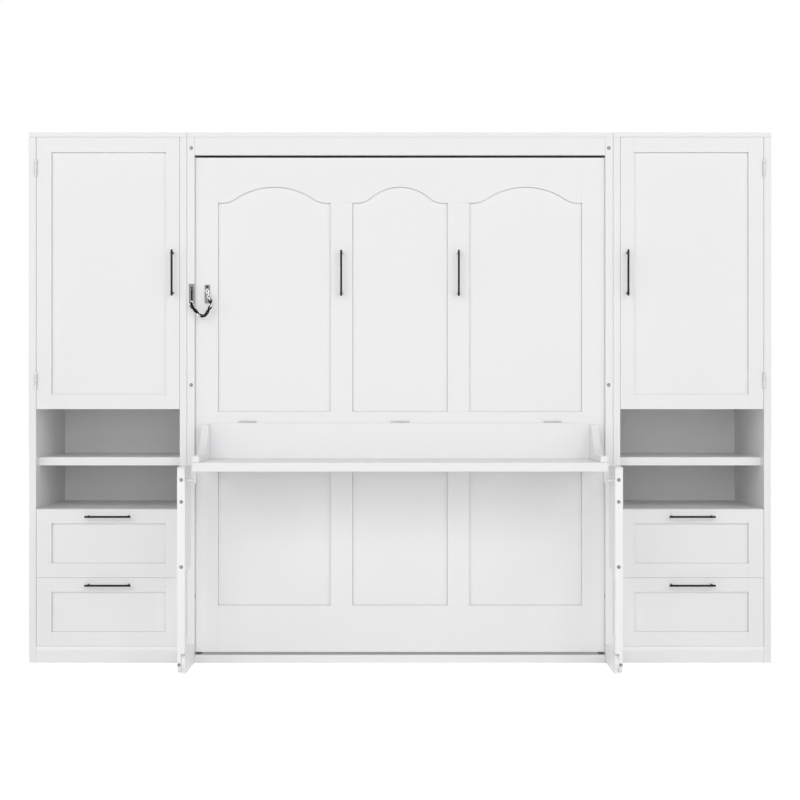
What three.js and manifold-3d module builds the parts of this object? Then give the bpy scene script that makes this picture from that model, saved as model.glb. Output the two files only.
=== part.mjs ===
// Murphy wall bed: a tall double bed that folds up into a middle cabinet, with a writing desk
// that stays level on its outside, and a storage tower on each side.
// Millimetres. +X to the right, +Y towards the wall, +Z up.
// The pieces are laid out from the cabinets' front plane at y = 0; the whole is then moved so that
// the origin is on the floor, under the middle of the object.

import * as THREE from 'three';
import { mergeVertices } from 'three/addons/utils/BufferGeometryUtils.js';
import Module from 'manifold-3d';

const wasm = await Module();
wasm.setup();

// ---- Cabinets ----
const cabinetHeight = 2122;
const cabinetDepth = 600;
const bayWidth = 1704;
const towerWidth = 632;
const towerGap = 1;
const baySideThickness = 30;
const towerOuterThickness = 29;
const towerInnerThickness = 28;
const boardThickness = 18;
const backThickness = 6;
const seam = 0.4;
const fasciaHeight = 71.6;
const baseRailHeight = 32;
const railThickness = 22;
const wallRailHeight = 120;
const wallRailDrop = 4;

// How far a part reaches into the one that it is joined to, and a cutter past the face that it cuts.
const bite = 1;
const cutterMargin = 10;

// ---- Bed ----
const faceSetback = 20;
const faceThickness = 25;
const faceSideGap = 1;
const faceTopGap = 8;
const faceBottomGap = 9;
const faceStile = 91;
const faceBottomRail = 187;
const faceTopRail = 181;
const faceMiddleRail = 184;
const middleRailRise = 41;
const mullionWidth = 88;
const mullionOffset = 235;
const reliefDepth = 12;
const archRise = 64;
const archShoulder = 20;
const archFillet = 80;
const frameWidth = 1420;
const frameBar = 4;
const frameDepth = 60;
const frameEndGap = 6;
const ledgeWidth = 26;
const ledgeBar = 3;
const ledgeLift = 10;
const slatCount = 14;
const slatWidth = 60;
const slatThickness = 15;
const slatEndGap = 20;
const slatSideGap = 1;
const slatBattenWidth = 40;
const slatBattenOffset = 330;

// ---- Bed pivot and lift struts ----
const pivotHeight = 265;
const pivotSetback = 34;
const pivotPinRadius = 6;
const pivotPlateThickness = 5;
const pivotPlateHeight = 60;
const pivotPlateLip = 8;
const pivotArmSize = 40;
const pivotArmFrontInset = 12;
const pivotArmBackInset = 5;
const plateSideGap = 2;
const notchClearance = 2;
const pinEndGap = 2;
const pinHoleClearance = 0.3;
const pinHoleDepth = 24;
const strutSetback = 125;
const strutTopHeight = 736;
const strutBottomHeight = 106;
const strutOffset = 762;
const barrelRadius = 11;
const barrelBore = 6.5;
const barrelLength = 340;
const barrelEndWall = 24;
const rodRadius = 5;
const rodInsertion = 40;
const strutStudRadius = 5;
const strutEyeWidth = 20;
const tailPlateThickness = 6;
const tailPlateHeight = 50;
const tailPlateInset = 5;
const tailPlateReach = 20;

// ---- Support legs at the foot end of the bed ----
const supportLegWidth = 40;
const supportLegThickness = 5;
const supportLegOffset = 680;
const supportBossRadius = 14;
const supportFloorGap = 1;

// ---- Desk ----
const deskHeight = 816;
const deskThickness = 35;
const deskWidth = 1574;
const deskProjection = 374;
const riserHeight = 144;
const riserThickness = 18;
const cheekThickness = 28;
const cheekLip = 24;
const cheekTopDepth = 62;
const cheekSlopeDepth = 232;
const cheekTopDrop = 5;
const cheekCurveReach = 50;
const cheekCurveRise = 12;
const riserEndInset = 1;
const deskRearGap = 1;
const hingeBarrelRadius = 4;
const hingeClearance = 0.5;
const hingeLift = 1;
const bracketThickness = 5;
const bracketHalfWidth = 12;

// ---- Desk legs and feet ----
const legProjection = 308;
const legThickness = 30;
const legDepth = 190;
const legTopDrop = 20;
const legCornerRadius = 12;
const legNeckDepth = 34;
const legScoopHeight = 400;
const legScoopDrop = 100;
const legScoopCorner = 30;
const legPinFromFront = 20;
const lapShare = 0.5;
const lapGap = 1;
const lapTopGap = 3;
const deskPinRadius = 6;
const deskPinCollar = 9;
const deskPinInset = 1;
const deskPinEndWall = 4;
const footPinInset = 2;
const floorClearance = 5.5;
const footHeight = 78;
const footEndClearance = 4.5;

// ---- Tower fronts ----
const frontThickness = 20;
const frontGap = 1.5;
const frontInnerGap = 1;
const frontSeamGap = 0.7;
const frontInnerStile = 55;
const frontOuterStile = 61;
const doorRail = 60;
const drawerRail = 57;
const frontRelief = 12;
const frontBackGap = 1;
const plinthHeight = 67;
const drawerHeight = 274;
const nicheShelfHeight = 821;
const nicheShelfThickness = 33;
const nicheShelfSetback = 58;
const nicheHeight = 400;
const nicheFloorDrop = 0.2;
const shelfInset = 40;
const cabinetShelfHeight = 1560;
const drawerBoxHeight = 180;
const drawerBoxDepth = 500;
const drawerBoxWall = 12;
const drawerBoxBottom = 8;
const drawerBoxLift = 28;
const runnerGap = 13;

// ---- Hardware ----
const handleLength = 184;
const handleBar = 8;
const handleBarDepth = 9;
const handleStandoff = 26;
const handlePostInset = 12;
const sideHandleHeight = 1560;
const doorHingeLength = 68;
const doorHingeRadius = 4.5;
const doorHingeLeaf = 0.8;
const doorHingeLeafInset = 2;
const doorHingeUpperDrop = 124;
const doorHingeLowerRise = 115;
const trackHeight = 78;
const trackWidth = 22;
const trackThickness = 3;
const trackInset = 4.5;
const trackSlotWidth = 5;
const trackSlotFoot = 12;
const trackSlotHead = 10;
const trackCentreHeight = 1477;
const keeperOffset = 773;
const keeperWidth = 20;
const keeperHeight = 74;
const keeperCentreHeight = 1477;
const chainRadius = 6;
const chainStandoff = 10;
// The chain's way from the track to the keeper: to the right, forward and up from the track's foot.
const chainPath = [
  [0, 0, 2], [3, 3, -14], [14, 6, -27], [28, 8, -41], [44, 8, -51], [58, 6, -45], [68, 2, -27], [77, -6, -4],
];
const keeperHookInset = 22;
const keeperHookReach = 8;
const keeperHookRise = 24;

// ---- Values worked out from the ones above ----
const bayHalf = bayWidth / 2;
const bayInside = bayHalf - baySideThickness;
const sideHeight = cabinetHeight - boardThickness - seam;
const towerInner = bayHalf + towerGap;
const towerOuter = towerInner + towerWidth;
const cellInner = towerInner + towerInnerThickness;
const cellOuter = towerOuter - towerOuterThickness;
const topUnderside = cabinetHeight - boardThickness;
const fasciaBottom = topUnderside - seam - fasciaHeight;
const backFront = cabinetDepth - backThickness;

const faceHalf = bayInside - faceSideGap;
const faceBack = faceSetback + faceThickness;
const faceTop = fasciaBottom - faceTopGap;
const faceBottom = baseRailHeight + faceBottomGap;
const archSpring = faceTop - faceTopRail;
const plateInner = faceHalf - plateSideGap - pivotPlateThickness;
const frameFront = faceBack + seam;
const frameBack = frameFront + frameDepth;
const frameHalf = frameWidth / 2;
const frameTop = faceTop - frameEndGap;
const frameBottom = faceBottom + frameEndGap;

const hingeSetback = faceSetback - hingeClearance - hingeBarrelRadius;
const hingeHeight = deskHeight + riserHeight + hingeBarrelRadius + hingeLift;
const middleRailTop = hingeHeight + middleRailRise;
const legTopHeight = deskHeight - legTopDrop;
const linkRise = hingeHeight - pivotHeight;
const linkReach = pivotSetback - hingeSetback;
const deskPinY = legPinFromFront - legProjection;
const footPinY = deskPinY + linkReach;
const toeRadius = legProjection + footPinY;
const footPinHeight = toeRadius + floorClearance;
const deskPinHeight = footPinHeight + linkRise;
const footEndRadius = toeRadius - footEndClearance;

const frontInner = cellInner + frontInnerGap;
const frontOuter = cellOuter - frontGap;
const fieldInner = frontInner + frontInnerStile;
const fieldOuter = frontOuter - frontOuterStile;
const upperDrawerBottom = plinthHeight + frontSeamGap + drawerHeight;
const nicheFloorTop = upperDrawerBottom + drawerHeight - nicheFloorDrop;
const doorBottom = nicheFloorTop + nicheHeight;
const deckBottom = doorBottom + frontGap;
const deckTop = deckBottom + boardThickness;
const doorTop = topUnderside - frontSeamGap;
const supportLegMiddle = (faceTop + fasciaBottom) / 2;
const supportLegZ = [
  supportLegMiddle - supportLegThickness / 2,
  supportLegMiddle + supportLegThickness / 2,
];

// ---- Finishes ----
const whitePaint = new THREE.MeshStandardMaterial({ color: 0xf0f0ee, roughness: 0.5, metalness: 0 });
const blackSteel = new THREE.MeshStandardMaterial({ color: 0x1c1c1d, roughness: 0.4, metalness: 0.6 });
const brightSteel = new THREE.MeshStandardMaterial({ color: 0xb9bcc0, roughness: 0.25, metalness: 1 });
const bareWood = new THREE.MeshStandardMaterial({ color: 0xd6b98c, roughness: 0.6, metalness: 0 });

const object = new THREE.Group();

// ---- Helpers ----
function piece(name, geometry, material) {
  const mesh = new THREE.Mesh(geometry, material.clone());
  mesh.name = name;
  object.add(mesh);
  return mesh;
}

function box(x, y, z) {
  const [x0, x1] = [Math.min(...x), Math.max(...x)];
  const geometry = new THREE.BoxGeometry(x1 - x0, y[1] - y[0], z[1] - z[0]);
  return geometry.translate((x0 + x1) / 2, (y[0] + y[1]) / 2, (z[0] + z[1]) / 2);
}

// A round bar along X, from x[0] to x[1].
function barX(x, y, z, radius, sides = 24) {
  const length = Math.abs(x[1] - x[0]);
  const geometry = new THREE.CylinderGeometry(radius, radius, length, sides);
  return geometry.rotateZ(Math.PI / 2).translate((x[0] + x[1]) / 2, y, z);
}

function barZ(x, y, z, radius, sides = 24) {
  const geometry = new THREE.CylinderGeometry(radius, radius, z[1] - z[0], sides);
  return geometry.rotateX(Math.PI / 2).translate(x, y, (z[0] + z[1]) / 2);
}

// An outline drawn in (forward, up), given its thickness from x[0] to x[1].
function sideBoard(outline, x, curveSegments = 8) {
  const [x0, x1] = [Math.min(...x), Math.max(...x)];
  const settings = { depth: x1 - x0, bevelEnabled: false, curveSegments };
  const geometry = new THREE.ExtrudeGeometry(outline, settings);
  const forward = new THREE.Vector3(0, -1, 0);
  const up = new THREE.Vector3(0, 0, 1);
  const across = new THREE.Vector3(-1, 0, 0);
  return geometry.applyMatrix4(new THREE.Matrix4().makeBasis(forward, up, across)).translate(x1, 0, 0);
}

// An outline drawn in (right, up), given its thickness from y[0] to y[1].
function frontBoard(outline, y, curveSegments = 6) {
  const depth = y[1] - y[0];
  const geometry = new THREE.ExtrudeGeometry(outline, { depth, bevelEnabled: false, curveSegments });
  return geometry.rotateX(Math.PI / 2).translate(0, y[1], 0);
}

function solid(geometry) {
  const bare = geometry.clone();
  bare.deleteAttribute('normal');
  bare.deleteAttribute('uv');
  const merged = mergeVertices(bare, 1e-4);
  const vertProperties = new Float32Array(merged.attributes.position.array);
  const triVerts = new Uint32Array(merged.index.array);
  return new wasm.Manifold(new wasm.Mesh({ numProp: 3, vertProperties, triVerts }));
}

function geometryOf(manifold) {
  const mesh = manifold.getMesh();
  const geometry = new THREE.BufferGeometry();
  geometry.setAttribute('position', new THREE.BufferAttribute(mesh.vertProperties.slice(), 3));
  geometry.setIndex(new THREE.BufferAttribute(mesh.triVerts.slice(), 1));
  geometry.computeVertexNormals();
  return geometry;
}

function join(...geometries) {
  return geometryOf(geometries.map(solid).reduce((whole, next) => whole.add(next)));
}

function cut(geometry, ...tools) {
  return geometryOf(tools.map(solid).reduce((whole, tool) => whole.subtract(tool), solid(geometry)));
}

const sides = [['left', -1], ['right', 1]];

// ---- Middle cabinet ----
function middleCabinet() {
  const inside = bayInside - seam;
  for (const [label, side] of sides) {
    const board = box([side * bayInside, side * bayHalf], [0, cabinetDepth], [0, sideHeight]);
    const holeX = [side * (bayInside - bite), side * (bayInside + pinHoleDepth)];
    const pivotHole = barX(holeX, pivotSetback, pivotHeight, pivotPinRadius + pinHoleClearance);
    const strutHole = barX(holeX, strutSetback, strutTopHeight, strutStudRadius + pinHoleClearance);
    piece(`bay_side_${label}`, cut(board, pivotHole, strutHole), whitePaint);
  }
  piece('bay_top', box([-bayHalf, bayHalf], [0, cabinetDepth], [topUnderside, cabinetHeight]), whitePaint);
  piece('fascia', box([-inside, inside], [0, railThickness], [fasciaBottom, topUnderside - seam]), whitePaint);
  piece('base_rail', box([-inside, inside], [0, railThickness], [0, baseRailHeight]), whitePaint);
  piece('bay_back', box([-inside, inside], [backFront, cabinetDepth], [0, topUnderside - seam]), whitePaint);
  const railTop = topUnderside - wallRailDrop;
  const railY = [backFront - seam - boardThickness, backFront - seam];
  piece('wall_rail', box([-inside, inside], railY, [railTop - wallRailHeight, railTop]), whitePaint);
}

// ---- Towers ----
// A door or drawer front between the heights z: two stiles and two rails around a sunk field.
function framedFront(side, z, rail) {
  const fieldX = [side * fieldInner, side * fieldOuter];
  const field = box(fieldX, [-bite, frontRelief], [z[0] + rail, z[1] - rail]);
  return cut(box([side * frontInner, side * frontOuter], [0, frontThickness], z), field);
}

function tower(label, side) {
  const outerX = [side * cellOuter, side * towerOuter];
  const innerX = [side * towerInner, side * cellInner];
  const cellX = [side * (cellInner + seam), side * (cellOuter - seam)];
  const insideY = [frontThickness + frontBackGap, backFront - seam];
  piece(`tower_outer_side_${label}`, box(outerX, [0, cabinetDepth], [0, sideHeight]), whitePaint);
  piece(`tower_inner_side_${label}`, box(innerX, [0, cabinetDepth], [0, sideHeight]), whitePaint);
  const topX = [side * towerInner, side * towerOuter];
  piece(`tower_top_${label}`, box(topX, [0, cabinetDepth], [topUnderside, cabinetHeight]), whitePaint);
  piece(`tower_back_${label}`, box(cellX, [backFront, cabinetDepth], [0, topUnderside - seam]), whitePaint);
  piece(`tower_deck_${label}`, box(cellX, insideY, [deckBottom, deckTop]), whitePaint);
  const nicheFloorZ = [nicheFloorTop - boardThickness, nicheFloorTop];
  piece(`niche_floor_${label}`, box(cellX, insideY, nicheFloorZ), whitePaint);
  const plinth = box(cellX, [0, boardThickness], [0, plinthHeight]);
  const bottomZ = [plinthHeight - boardThickness, plinthHeight];
  const bottom = box(cellX, [boardThickness - bite, backFront - seam], bottomZ);
  piece(`tower_base_${label}`, join(plinth, bottom), whitePaint);
  const shelfZ = [nicheShelfHeight - nicheShelfThickness, nicheShelfHeight];
  piece(`niche_shelf_${label}`, box(cellX, [nicheShelfSetback, insideY[1]], shelfZ), whitePaint);
  const upperShelfZ = [cabinetShelfHeight - boardThickness, cabinetShelfHeight];
  piece(`cabinet_shelf_${label}`, box(cellX, [shelfInset, insideY[1]], upperShelfZ), whitePaint);
}

function drawer(level, label, side, z0) {
  const frontTop = z0 + drawerHeight - frontSeamGap;
  const front = framedFront(side, [z0, frontTop], drawerRail);
  const boxX = [side * (cellInner + runnerGap), side * (cellOuter - runnerGap)];
  const boxZ = [z0 + drawerBoxLift, z0 + drawerBoxLift + drawerBoxHeight];
  const wallX = [boxX[0] + side * drawerBoxWall, boxX[1] - side * drawerBoxWall];
  const boxY = [frontThickness - bite, frontThickness + drawerBoxDepth];
  const hollowY = [frontThickness + drawerBoxWall, boxY[1] - drawerBoxWall];
  const hollowZ = [boxZ[0] + drawerBoxBottom, boxZ[1] + bite];
  const shell = cut(box(boxX, boxY, boxZ), box(wallX, hollowY, hollowZ));
  piece(`drawer_${level}_${label}`, join(front, shell), whitePaint);
  const middle = side * (fieldInner + fieldOuter) / 2;
  const pull = handle(middle, frontTop - drawerRail / 2, 0, false);
  piece(`drawer_handle_${level}_${label}`, pull, blackSteel);
}

function door(label, side) {
  piece(`door_${label}`, framedFront(side, [doorBottom, doorTop], doorRail), whitePaint);
  const handleX = side * (frontInner + frontInnerStile / 2);
  piece(`door_handle_${label}`, handle(handleX, sideHandleHeight, 0, true), blackSteel);
  const axisX = side * (frontOuter + frontGap / 2);
  const axisY = -(doorHingeRadius + hingeClearance);
  const leafX = [side * (cellOuter - seam / 2), side * (cellOuter - seam / 2 - doorHingeLeaf)];
  const middles = { upper: doorTop - doorHingeUpperDrop, lower: doorBottom + doorHingeLowerRise };
  for (const [level, middle] of Object.entries(middles)) {
    const hingeZ = [middle - doorHingeLength / 2, middle + doorHingeLength / 2];
    const barrel = barZ(axisX, axisY, hingeZ, doorHingeRadius, 16);
    const leaf = box(leafX, [axisY, frontThickness - doorHingeLeafInset], hingeZ);
    piece(`door_hinge_${level}_${label}`, join(barrel, leaf), brightSteel);
  }
}

// A bar pull on two posts, on a surface at the given y. It is vertical or level.
function handle(x, z, surface, vertical) {
  const half = handleLength / 2;
  const post = half - handlePostInset;
  const postFoot = surface - hingeClearance;
  const barY = [postFoot - handleStandoff - handleBarDepth, postFoot - handleStandoff];
  const postY = [barY[1] - bite, postFoot];
  const thick = handleBar / 2;
  const along = (from, to) => (vertical ? [[x - thick, x + thick], [z + from, z + to]]
    : [[x + from, x + to], [z - thick, z + thick]]);
  const [barAcross, barUp] = along(-half, half);
  const [lowAcross, lowUp] = along(-post - thick, -post + thick);
  const [highAcross, highUp] = along(post - thick, post + thick);
  return join(box(barAcross, barY, barUp), box(lowAcross, postY, lowUp), box(highAcross, postY, highUp));
}

// ---- Bed ----
const fieldY = [faceSetback - bite, faceSetback + reliefDepth];

// An upper sunk field of the bed's face: straight sides, a level shoulder at each top corner,
// and a crowned arch that meets the shoulders through a small reversed curve.
function archedField(x0, x1) {
  const middle = (x0 + x1) / 2;
  const half = (x1 - x0) / 2 - archShoulder;
  const reach = (half * half + archRise * archRise) / (2 * archRise);
  const crownRadius = reach - archFillet;
  const crownCentre = archSpring + archRise - crownRadius;
  const meet = Math.asin((reach - archRise) / reach);
  const outline = new THREE.Shape();
  outline.moveTo(x0, middleRailTop);
  outline.lineTo(x1, middleRailTop);
  outline.lineTo(x1, archSpring);
  outline.absarc(middle + half, archSpring + archFillet, archFillet, 1.5 * Math.PI, Math.PI + meet, true);
  outline.absarc(middle, crownCentre, crownRadius, meet, Math.PI - meet, false);
  outline.absarc(middle - half, archSpring + archFillet, archFillet, -meet, -0.5 * Math.PI, true);
  outline.lineTo(x0, archSpring);
  return frontBoard(outline, fieldY);
}

// A lower field, between the bottom rail and the middle rail that carries the desk's hinges.
function plainField(x0, x1) {
  return box([x0, x1], fieldY, [faceBottom + faceBottomRail, middleRailTop - faceMiddleRail]);
}

function bedFace() {
  const inner = mullionOffset - mullionWidth / 2;
  const outer = mullionOffset + mullionWidth / 2;
  const edge = faceHalf - faceStile;
  const fieldsX = [[-edge, -outer], [-inner, inner], [outer, edge]];
  const fields = fieldsX.flatMap(([x0, x1]) => [archedField(x0, x1), plainField(x0, x1)]);
  const notchHalf = pivotPlateHeight / 2 + notchClearance;
  const notches = sides.map(([, side]) => box(
    [side * (plateInner - 2 * seam), side * (faceHalf + bite)],
    [pivotSetback - pivotPlateLip - seam, faceBack + bite],
    [pivotHeight - notchHalf, pivotHeight + notchHalf],
  ));
  const board = box([-faceHalf, faceHalf], [faceSetback, faceBack], [faceBottom, faceTop]);
  piece('bed_face', cut(board, ...fields, ...notches), whitePaint);
  for (const [label, side] of sides) {
    piece(`bed_handle_${label}`, handle(side * mullionOffset, sideHandleHeight, faceSetback, true), blackSteel);
  }
}

// Welded frame: a ring of flat bar on edge, a ledge inside it for the slats, and on each side the
// pivot arm with its plate and pin, the tail plate that a lift strut pushes on, and the boss of a
// support leg.
function bedFrame() {
  const y = [frameFront, frameBack];
  const inner = frameHalf - frameBar;
  const parts = [
    box([-frameHalf, frameHalf], y, [frameBottom, frameBottom + frameBar]),
    box([-frameHalf, frameHalf], y, [frameTop - frameBar, frameTop]),
  ];
  const arm = pivotArmSize / 2;
  const armY = [frameFront + pivotArmFrontInset, frameBack - pivotArmBackInset];
  const barZRange = [frameBottom + bite, frameTop - bite];
  for (const [, side] of sides) {
    parts.push(box([side * inner, side * frameHalf], y, barZRange));
    const ledgeX = [side * (inner - ledgeWidth), side * (inner + bite)];
    const ledgeY = [frameFront + ledgeLift, frameFront + ledgeLift + ledgeBar];
    parts.push(box(ledgeX, ledgeY, barZRange));
    const armX = [side * (frameHalf - bite), side * (plateInner + bite)];
    parts.push(box(armX, armY, [pivotHeight - arm, pivotHeight + arm]));
    parts.push(box(
      [side * plateInner, side * (plateInner + pivotPlateThickness)],
      [pivotSetback - pivotPlateLip, frameBack],
      [pivotHeight - pivotPlateHeight / 2, pivotHeight + pivotPlateHeight / 2],
    ));
    const pinX = [side * (plateInner + bite), side * (bayInside + pinHoleDepth - pinEndGap)];
    parts.push(barX(pinX, pivotSetback, pivotHeight, pivotPinRadius));
    parts.push(box(
      [side * (frameHalf - bite), side * (frameHalf + tailPlateThickness)],
      [frameFront + tailPlateInset, strutSetback + tailPlateReach],
      [strutBottomHeight - tailPlateHeight / 2, strutBottomHeight + tailPlateHeight / 2],
    ));
    const bossY = frameFront + frameDepth / 2;
    const bossZ = [frameTop - bite, supportLegZ[0] - seam];
    parts.push(barZ(side * supportLegOffset, bossY, bossZ, supportBossRadius));
  }
  piece('bed_frame', join(...parts), blackSteel);
}

function slatDeck() {
  const half = frameHalf - frameBar - slatSideGap;
  const slatFront = frameFront + ledgeLift + ledgeBar + seam;
  const slatY = [slatFront, slatFront + slatThickness];
  const battenY = [frameFront + seam, slatFront + bite];
  const first = frameBottom + frameBar + slatWidth / 2 + slatEndGap;
  const last = frameTop - frameBar - slatWidth / 2 - slatEndGap;
  const parts = [];
  for (let i = 0; i < slatCount; i += 1) {
    const middle = first + (last - first) * i / (slatCount - 1);
    parts.push(box([-half, half], slatY, [middle - slatWidth / 2, middle + slatWidth / 2]));
  }
  for (const [, side] of sides) {
    const reach = slatBattenWidth / 2;
    const x = [side * (slatBattenOffset - reach), side * (slatBattenOffset + reach)];
    parts.push(box(x, battenY, [first - slatWidth / 2 + bite, last + slatWidth / 2 - bite]));
  }
  piece('slat_deck', join(...parts), bareWood);
}

// Each support leg lies along the top of the folded bed and swings on a bolt in its end boss.
// Its length is the pivot's height above the floor once the bed is down.
function supportLegs() {
  const y = frameFront + frameDepth / 2;
  const length = pivotHeight + y - pivotSetback - supportFloorGap;
  for (const [label, side] of sides) {
    const x0 = side * (supportLegOffset + supportLegWidth / 2);
    const x1 = side * (supportLegOffset - length);
    const bar = box([x0, x1], [y - supportLegWidth / 2, y + supportLegWidth / 2], supportLegZ);
    piece(`support_leg_${label}`, bar, blackSteel);
  }
}

// ---- Lift struts ----
function liftStruts() {
  for (const [label, side] of sides) {
    const x = side * strutOffset;
    const barrelZ = [strutTopHeight - barrelLength, strutTopHeight - strutEyeWidth / 2 + bite];
    const tube = barZ(x, strutSetback, barrelZ, barrelRadius);
    const eyeX = [x - strutEyeWidth / 2, x + strutEyeWidth / 2];
    const eye = barX(eyeX, strutSetback, strutTopHeight, barrelRadius);
    const studEnd = side * (bayInside + pinHoleDepth - pinEndGap);
    const stud = barX([x, studEnd], strutSetback, strutTopHeight, strutStudRadius);
    const boreZ = [barrelZ[0] - bite, strutTopHeight - barrelEndWall];
    const bore = barZ(x, strutSetback, boreZ, barrelBore);
    piece(`strut_barrel_${label}`, cut(join(tube, eye, stud), bore), blackSteel);
    const rodZ = [strutBottomHeight, barrelZ[0] + rodInsertion];
    const rod = barZ(x, strutSetback, rodZ, rodRadius);
    const rodEye = barX(eyeX, strutSetback, strutBottomHeight, barrelRadius);
    const rodStudEnd = side * (frameHalf + tailPlateThickness + 2 * seam);
    const rodStud = barX([x, rodStudEnd], strutSetback, strutBottomHeight, strutStudRadius);
    piece(`strut_rod_${label}`, join(rod, rodEye, rodStud), brightSteel);
  }
}

// ---- Desk ----
// The desk's board, with an ear under each end for the pin of the desk leg there.
function deskTop() {
  const half = deskWidth / 2;
  const underside = deskHeight - deskThickness;
  const boardY = [-deskProjection, faceSetback - deskRearGap];
  const parts = [box([-half, half], boardY, [underside, deskHeight])];
  const ear = new THREE.Shape();
  ear.moveTo(-deskPinY + bracketHalfWidth, underside + bite);
  ear.lineTo(-deskPinY - bracketHalfWidth, underside + bite);
  ear.absarc(-deskPinY, deskPinHeight, bracketHalfWidth, Math.PI, 2 * Math.PI, false);
  for (const [, side] of sides) {
    const plate = sideBoard(ear, [side * (half - bracketThickness), side * half]);
    const holeX = [side * (half - bracketThickness - bite), side * (half + bite)];
    parts.push(cut(plate, barX(holeX, deskPinY, deskPinHeight, deskPinRadius + pinHoleClearance)));
  }
  piece('desk_top', join(...parts), whitePaint);
}

// The riser board and its two end cheeks, which slope down to a low lip along the desk's ends.
function deskGallery() {
  const half = deskWidth / 2;
  const riserBack = faceSetback - hingeClearance;
  const foot = deskHeight + seam;
  const top = deskHeight + riserHeight;
  const cheek = new THREE.Shape();
  cheek.moveTo(-riserBack, foot);
  cheek.lineTo(deskProjection, foot);
  cheek.lineTo(deskProjection, deskHeight + cheekLip);
  cheek.lineTo(cheekSlopeDepth, deskHeight + cheekLip);
  const cheekTop = top - cheekTopDrop;
  const bendHeight = deskHeight + cheekLip + cheekCurveRise;
  cheek.quadraticCurveTo(cheekTopDepth + cheekCurveReach, bendHeight, cheekTopDepth, cheekTop);
  cheek.lineTo(-riserBack, cheekTop);
  const riserX = [-half + riserEndInset, half - riserEndInset];
  const parts = [box(riserX, [riserBack - riserThickness, riserBack], [foot, top])];
  for (const [, side] of sides) {
    parts.push(sideBoard(cheek, [side * (half - cheekThickness), side * half]));
  }
  piece('desk_gallery', join(...parts), whitePaint);
}

// ---- Desk legs and the feet that they swing on ----
// The leg sweeps in from a deep top to a slim neck and widens again to its foot. Down there the
// leg and the fixed foot are halved: the leg keeps its outer layer and the foot its inner one,
// and the leg's pin joins them.
function deskLegs() {
  const rear = legProjection - legDepth;
  const neck = legProjection - legNeckDepth;
  const toe = -footPinY;
  const outline = new THREE.Shape();
  const cornerZ = legTopHeight - legCornerRadius;
  outline.moveTo(legProjection, footPinHeight);
  outline.lineTo(legProjection, cornerZ);
  outline.absarc(legProjection - legCornerRadius, cornerZ, legCornerRadius, 0, Math.PI / 2, false);
  outline.lineTo(rear + legCornerRadius, legTopHeight);
  outline.absarc(rear + legCornerRadius, cornerZ, legCornerRadius, Math.PI / 2, Math.PI, false);
  outline.lineTo(rear, legScoopHeight);
  const scoopFoot = legScoopHeight - legScoopDrop;
  const scoopHandle = neck - legScoopCorner;
  outline.bezierCurveTo(scoopHandle, legScoopHeight, neck, scoopFoot + legScoopCorner, neck, scoopFoot);
  outline.lineTo(toe - toeRadius, footPinHeight + toeRadius);
  outline.lineTo(toe - toeRadius, footPinHeight);
  outline.absarc(toe, footPinHeight, toeRadius, Math.PI, 2 * Math.PI, false);

  const lap = new THREE.Shape();
  const lapTop = footHeight + lapTopGap;
  lap.moveTo(rear - cutterMargin, -cutterMargin);
  lap.lineTo(legProjection + cutterMargin, -cutterMargin);
  lap.lineTo(legProjection + cutterMargin, lapTop);
  lap.lineTo(rear - cutterMargin, lapTop);

  // The foot's end is rounded from a short upright at the floor to its top edge.
  const lapEnd = toe - toeRadius - lapGap;
  const noseAngle = Math.PI / 3;
  const footOutline = new THREE.Shape();
  footOutline.moveTo(seam, 0);
  footOutline.lineTo(toe + footEndRadius * Math.cos(noseAngle), 0);
  footOutline.absarc(toe, footPinHeight, footEndRadius, -noseAngle, Math.PI / 2, false);
  footOutline.lineTo(seam, footPinHeight + footEndRadius);

  for (const [label, side] of sides) {
    const x = [side * bayInside, side * (bayInside + legThickness)];
    const lapFace = bayInside + legThickness * lapShare;
    const layerEnd = lapFace + lapGap / 2;
    const inner = sideBoard(lap, [side * (bayInside - bite), side * layerEnd]);
    const board = cut(sideBoard(outline, x), inner);
    const deskEnd = deskWidth / 2;
    const deskPinX = [
      side * (deskEnd - bracketThickness + deskPinInset),
      side * (bayInside + legThickness - deskPinEndWall),
    ];
    const deskPin = barX(deskPinX, deskPinY, deskPinHeight, deskPinRadius);
    const collarX = [side * (deskEnd + seam), side * (bayInside + bite)];
    const collar = barX(collarX, deskPinY, deskPinHeight, deskPinCollar);
    const footPinX = [side * (bayInside + footPinInset), side * (layerEnd + bite)];
    const footPin = barX(footPinX, footPinY, footPinHeight, deskPinRadius);
    piece(`desk_leg_${label}`, join(board, deskPin, collar, footPin), whitePaint);

    const foot = sideBoard(footOutline, x);
    const outerLayer = box(
      [side * (lapFace - lapGap / 2), side * (bayInside + legThickness + bite)],
      [-legProjection - cutterMargin, -lapEnd],
      [-cutterMargin, footHeight + cutterMargin],
    );
    const holeX = [side * (bayInside - bite), side * (lapFace + bite)];
    const pinHole = barX(holeX, footPinY, footPinHeight, deskPinRadius + pinHoleClearance);
    piece(`desk_foot_${label}`, cut(foot, outerLayer, pinHole), whitePaint);
  }
}

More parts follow.
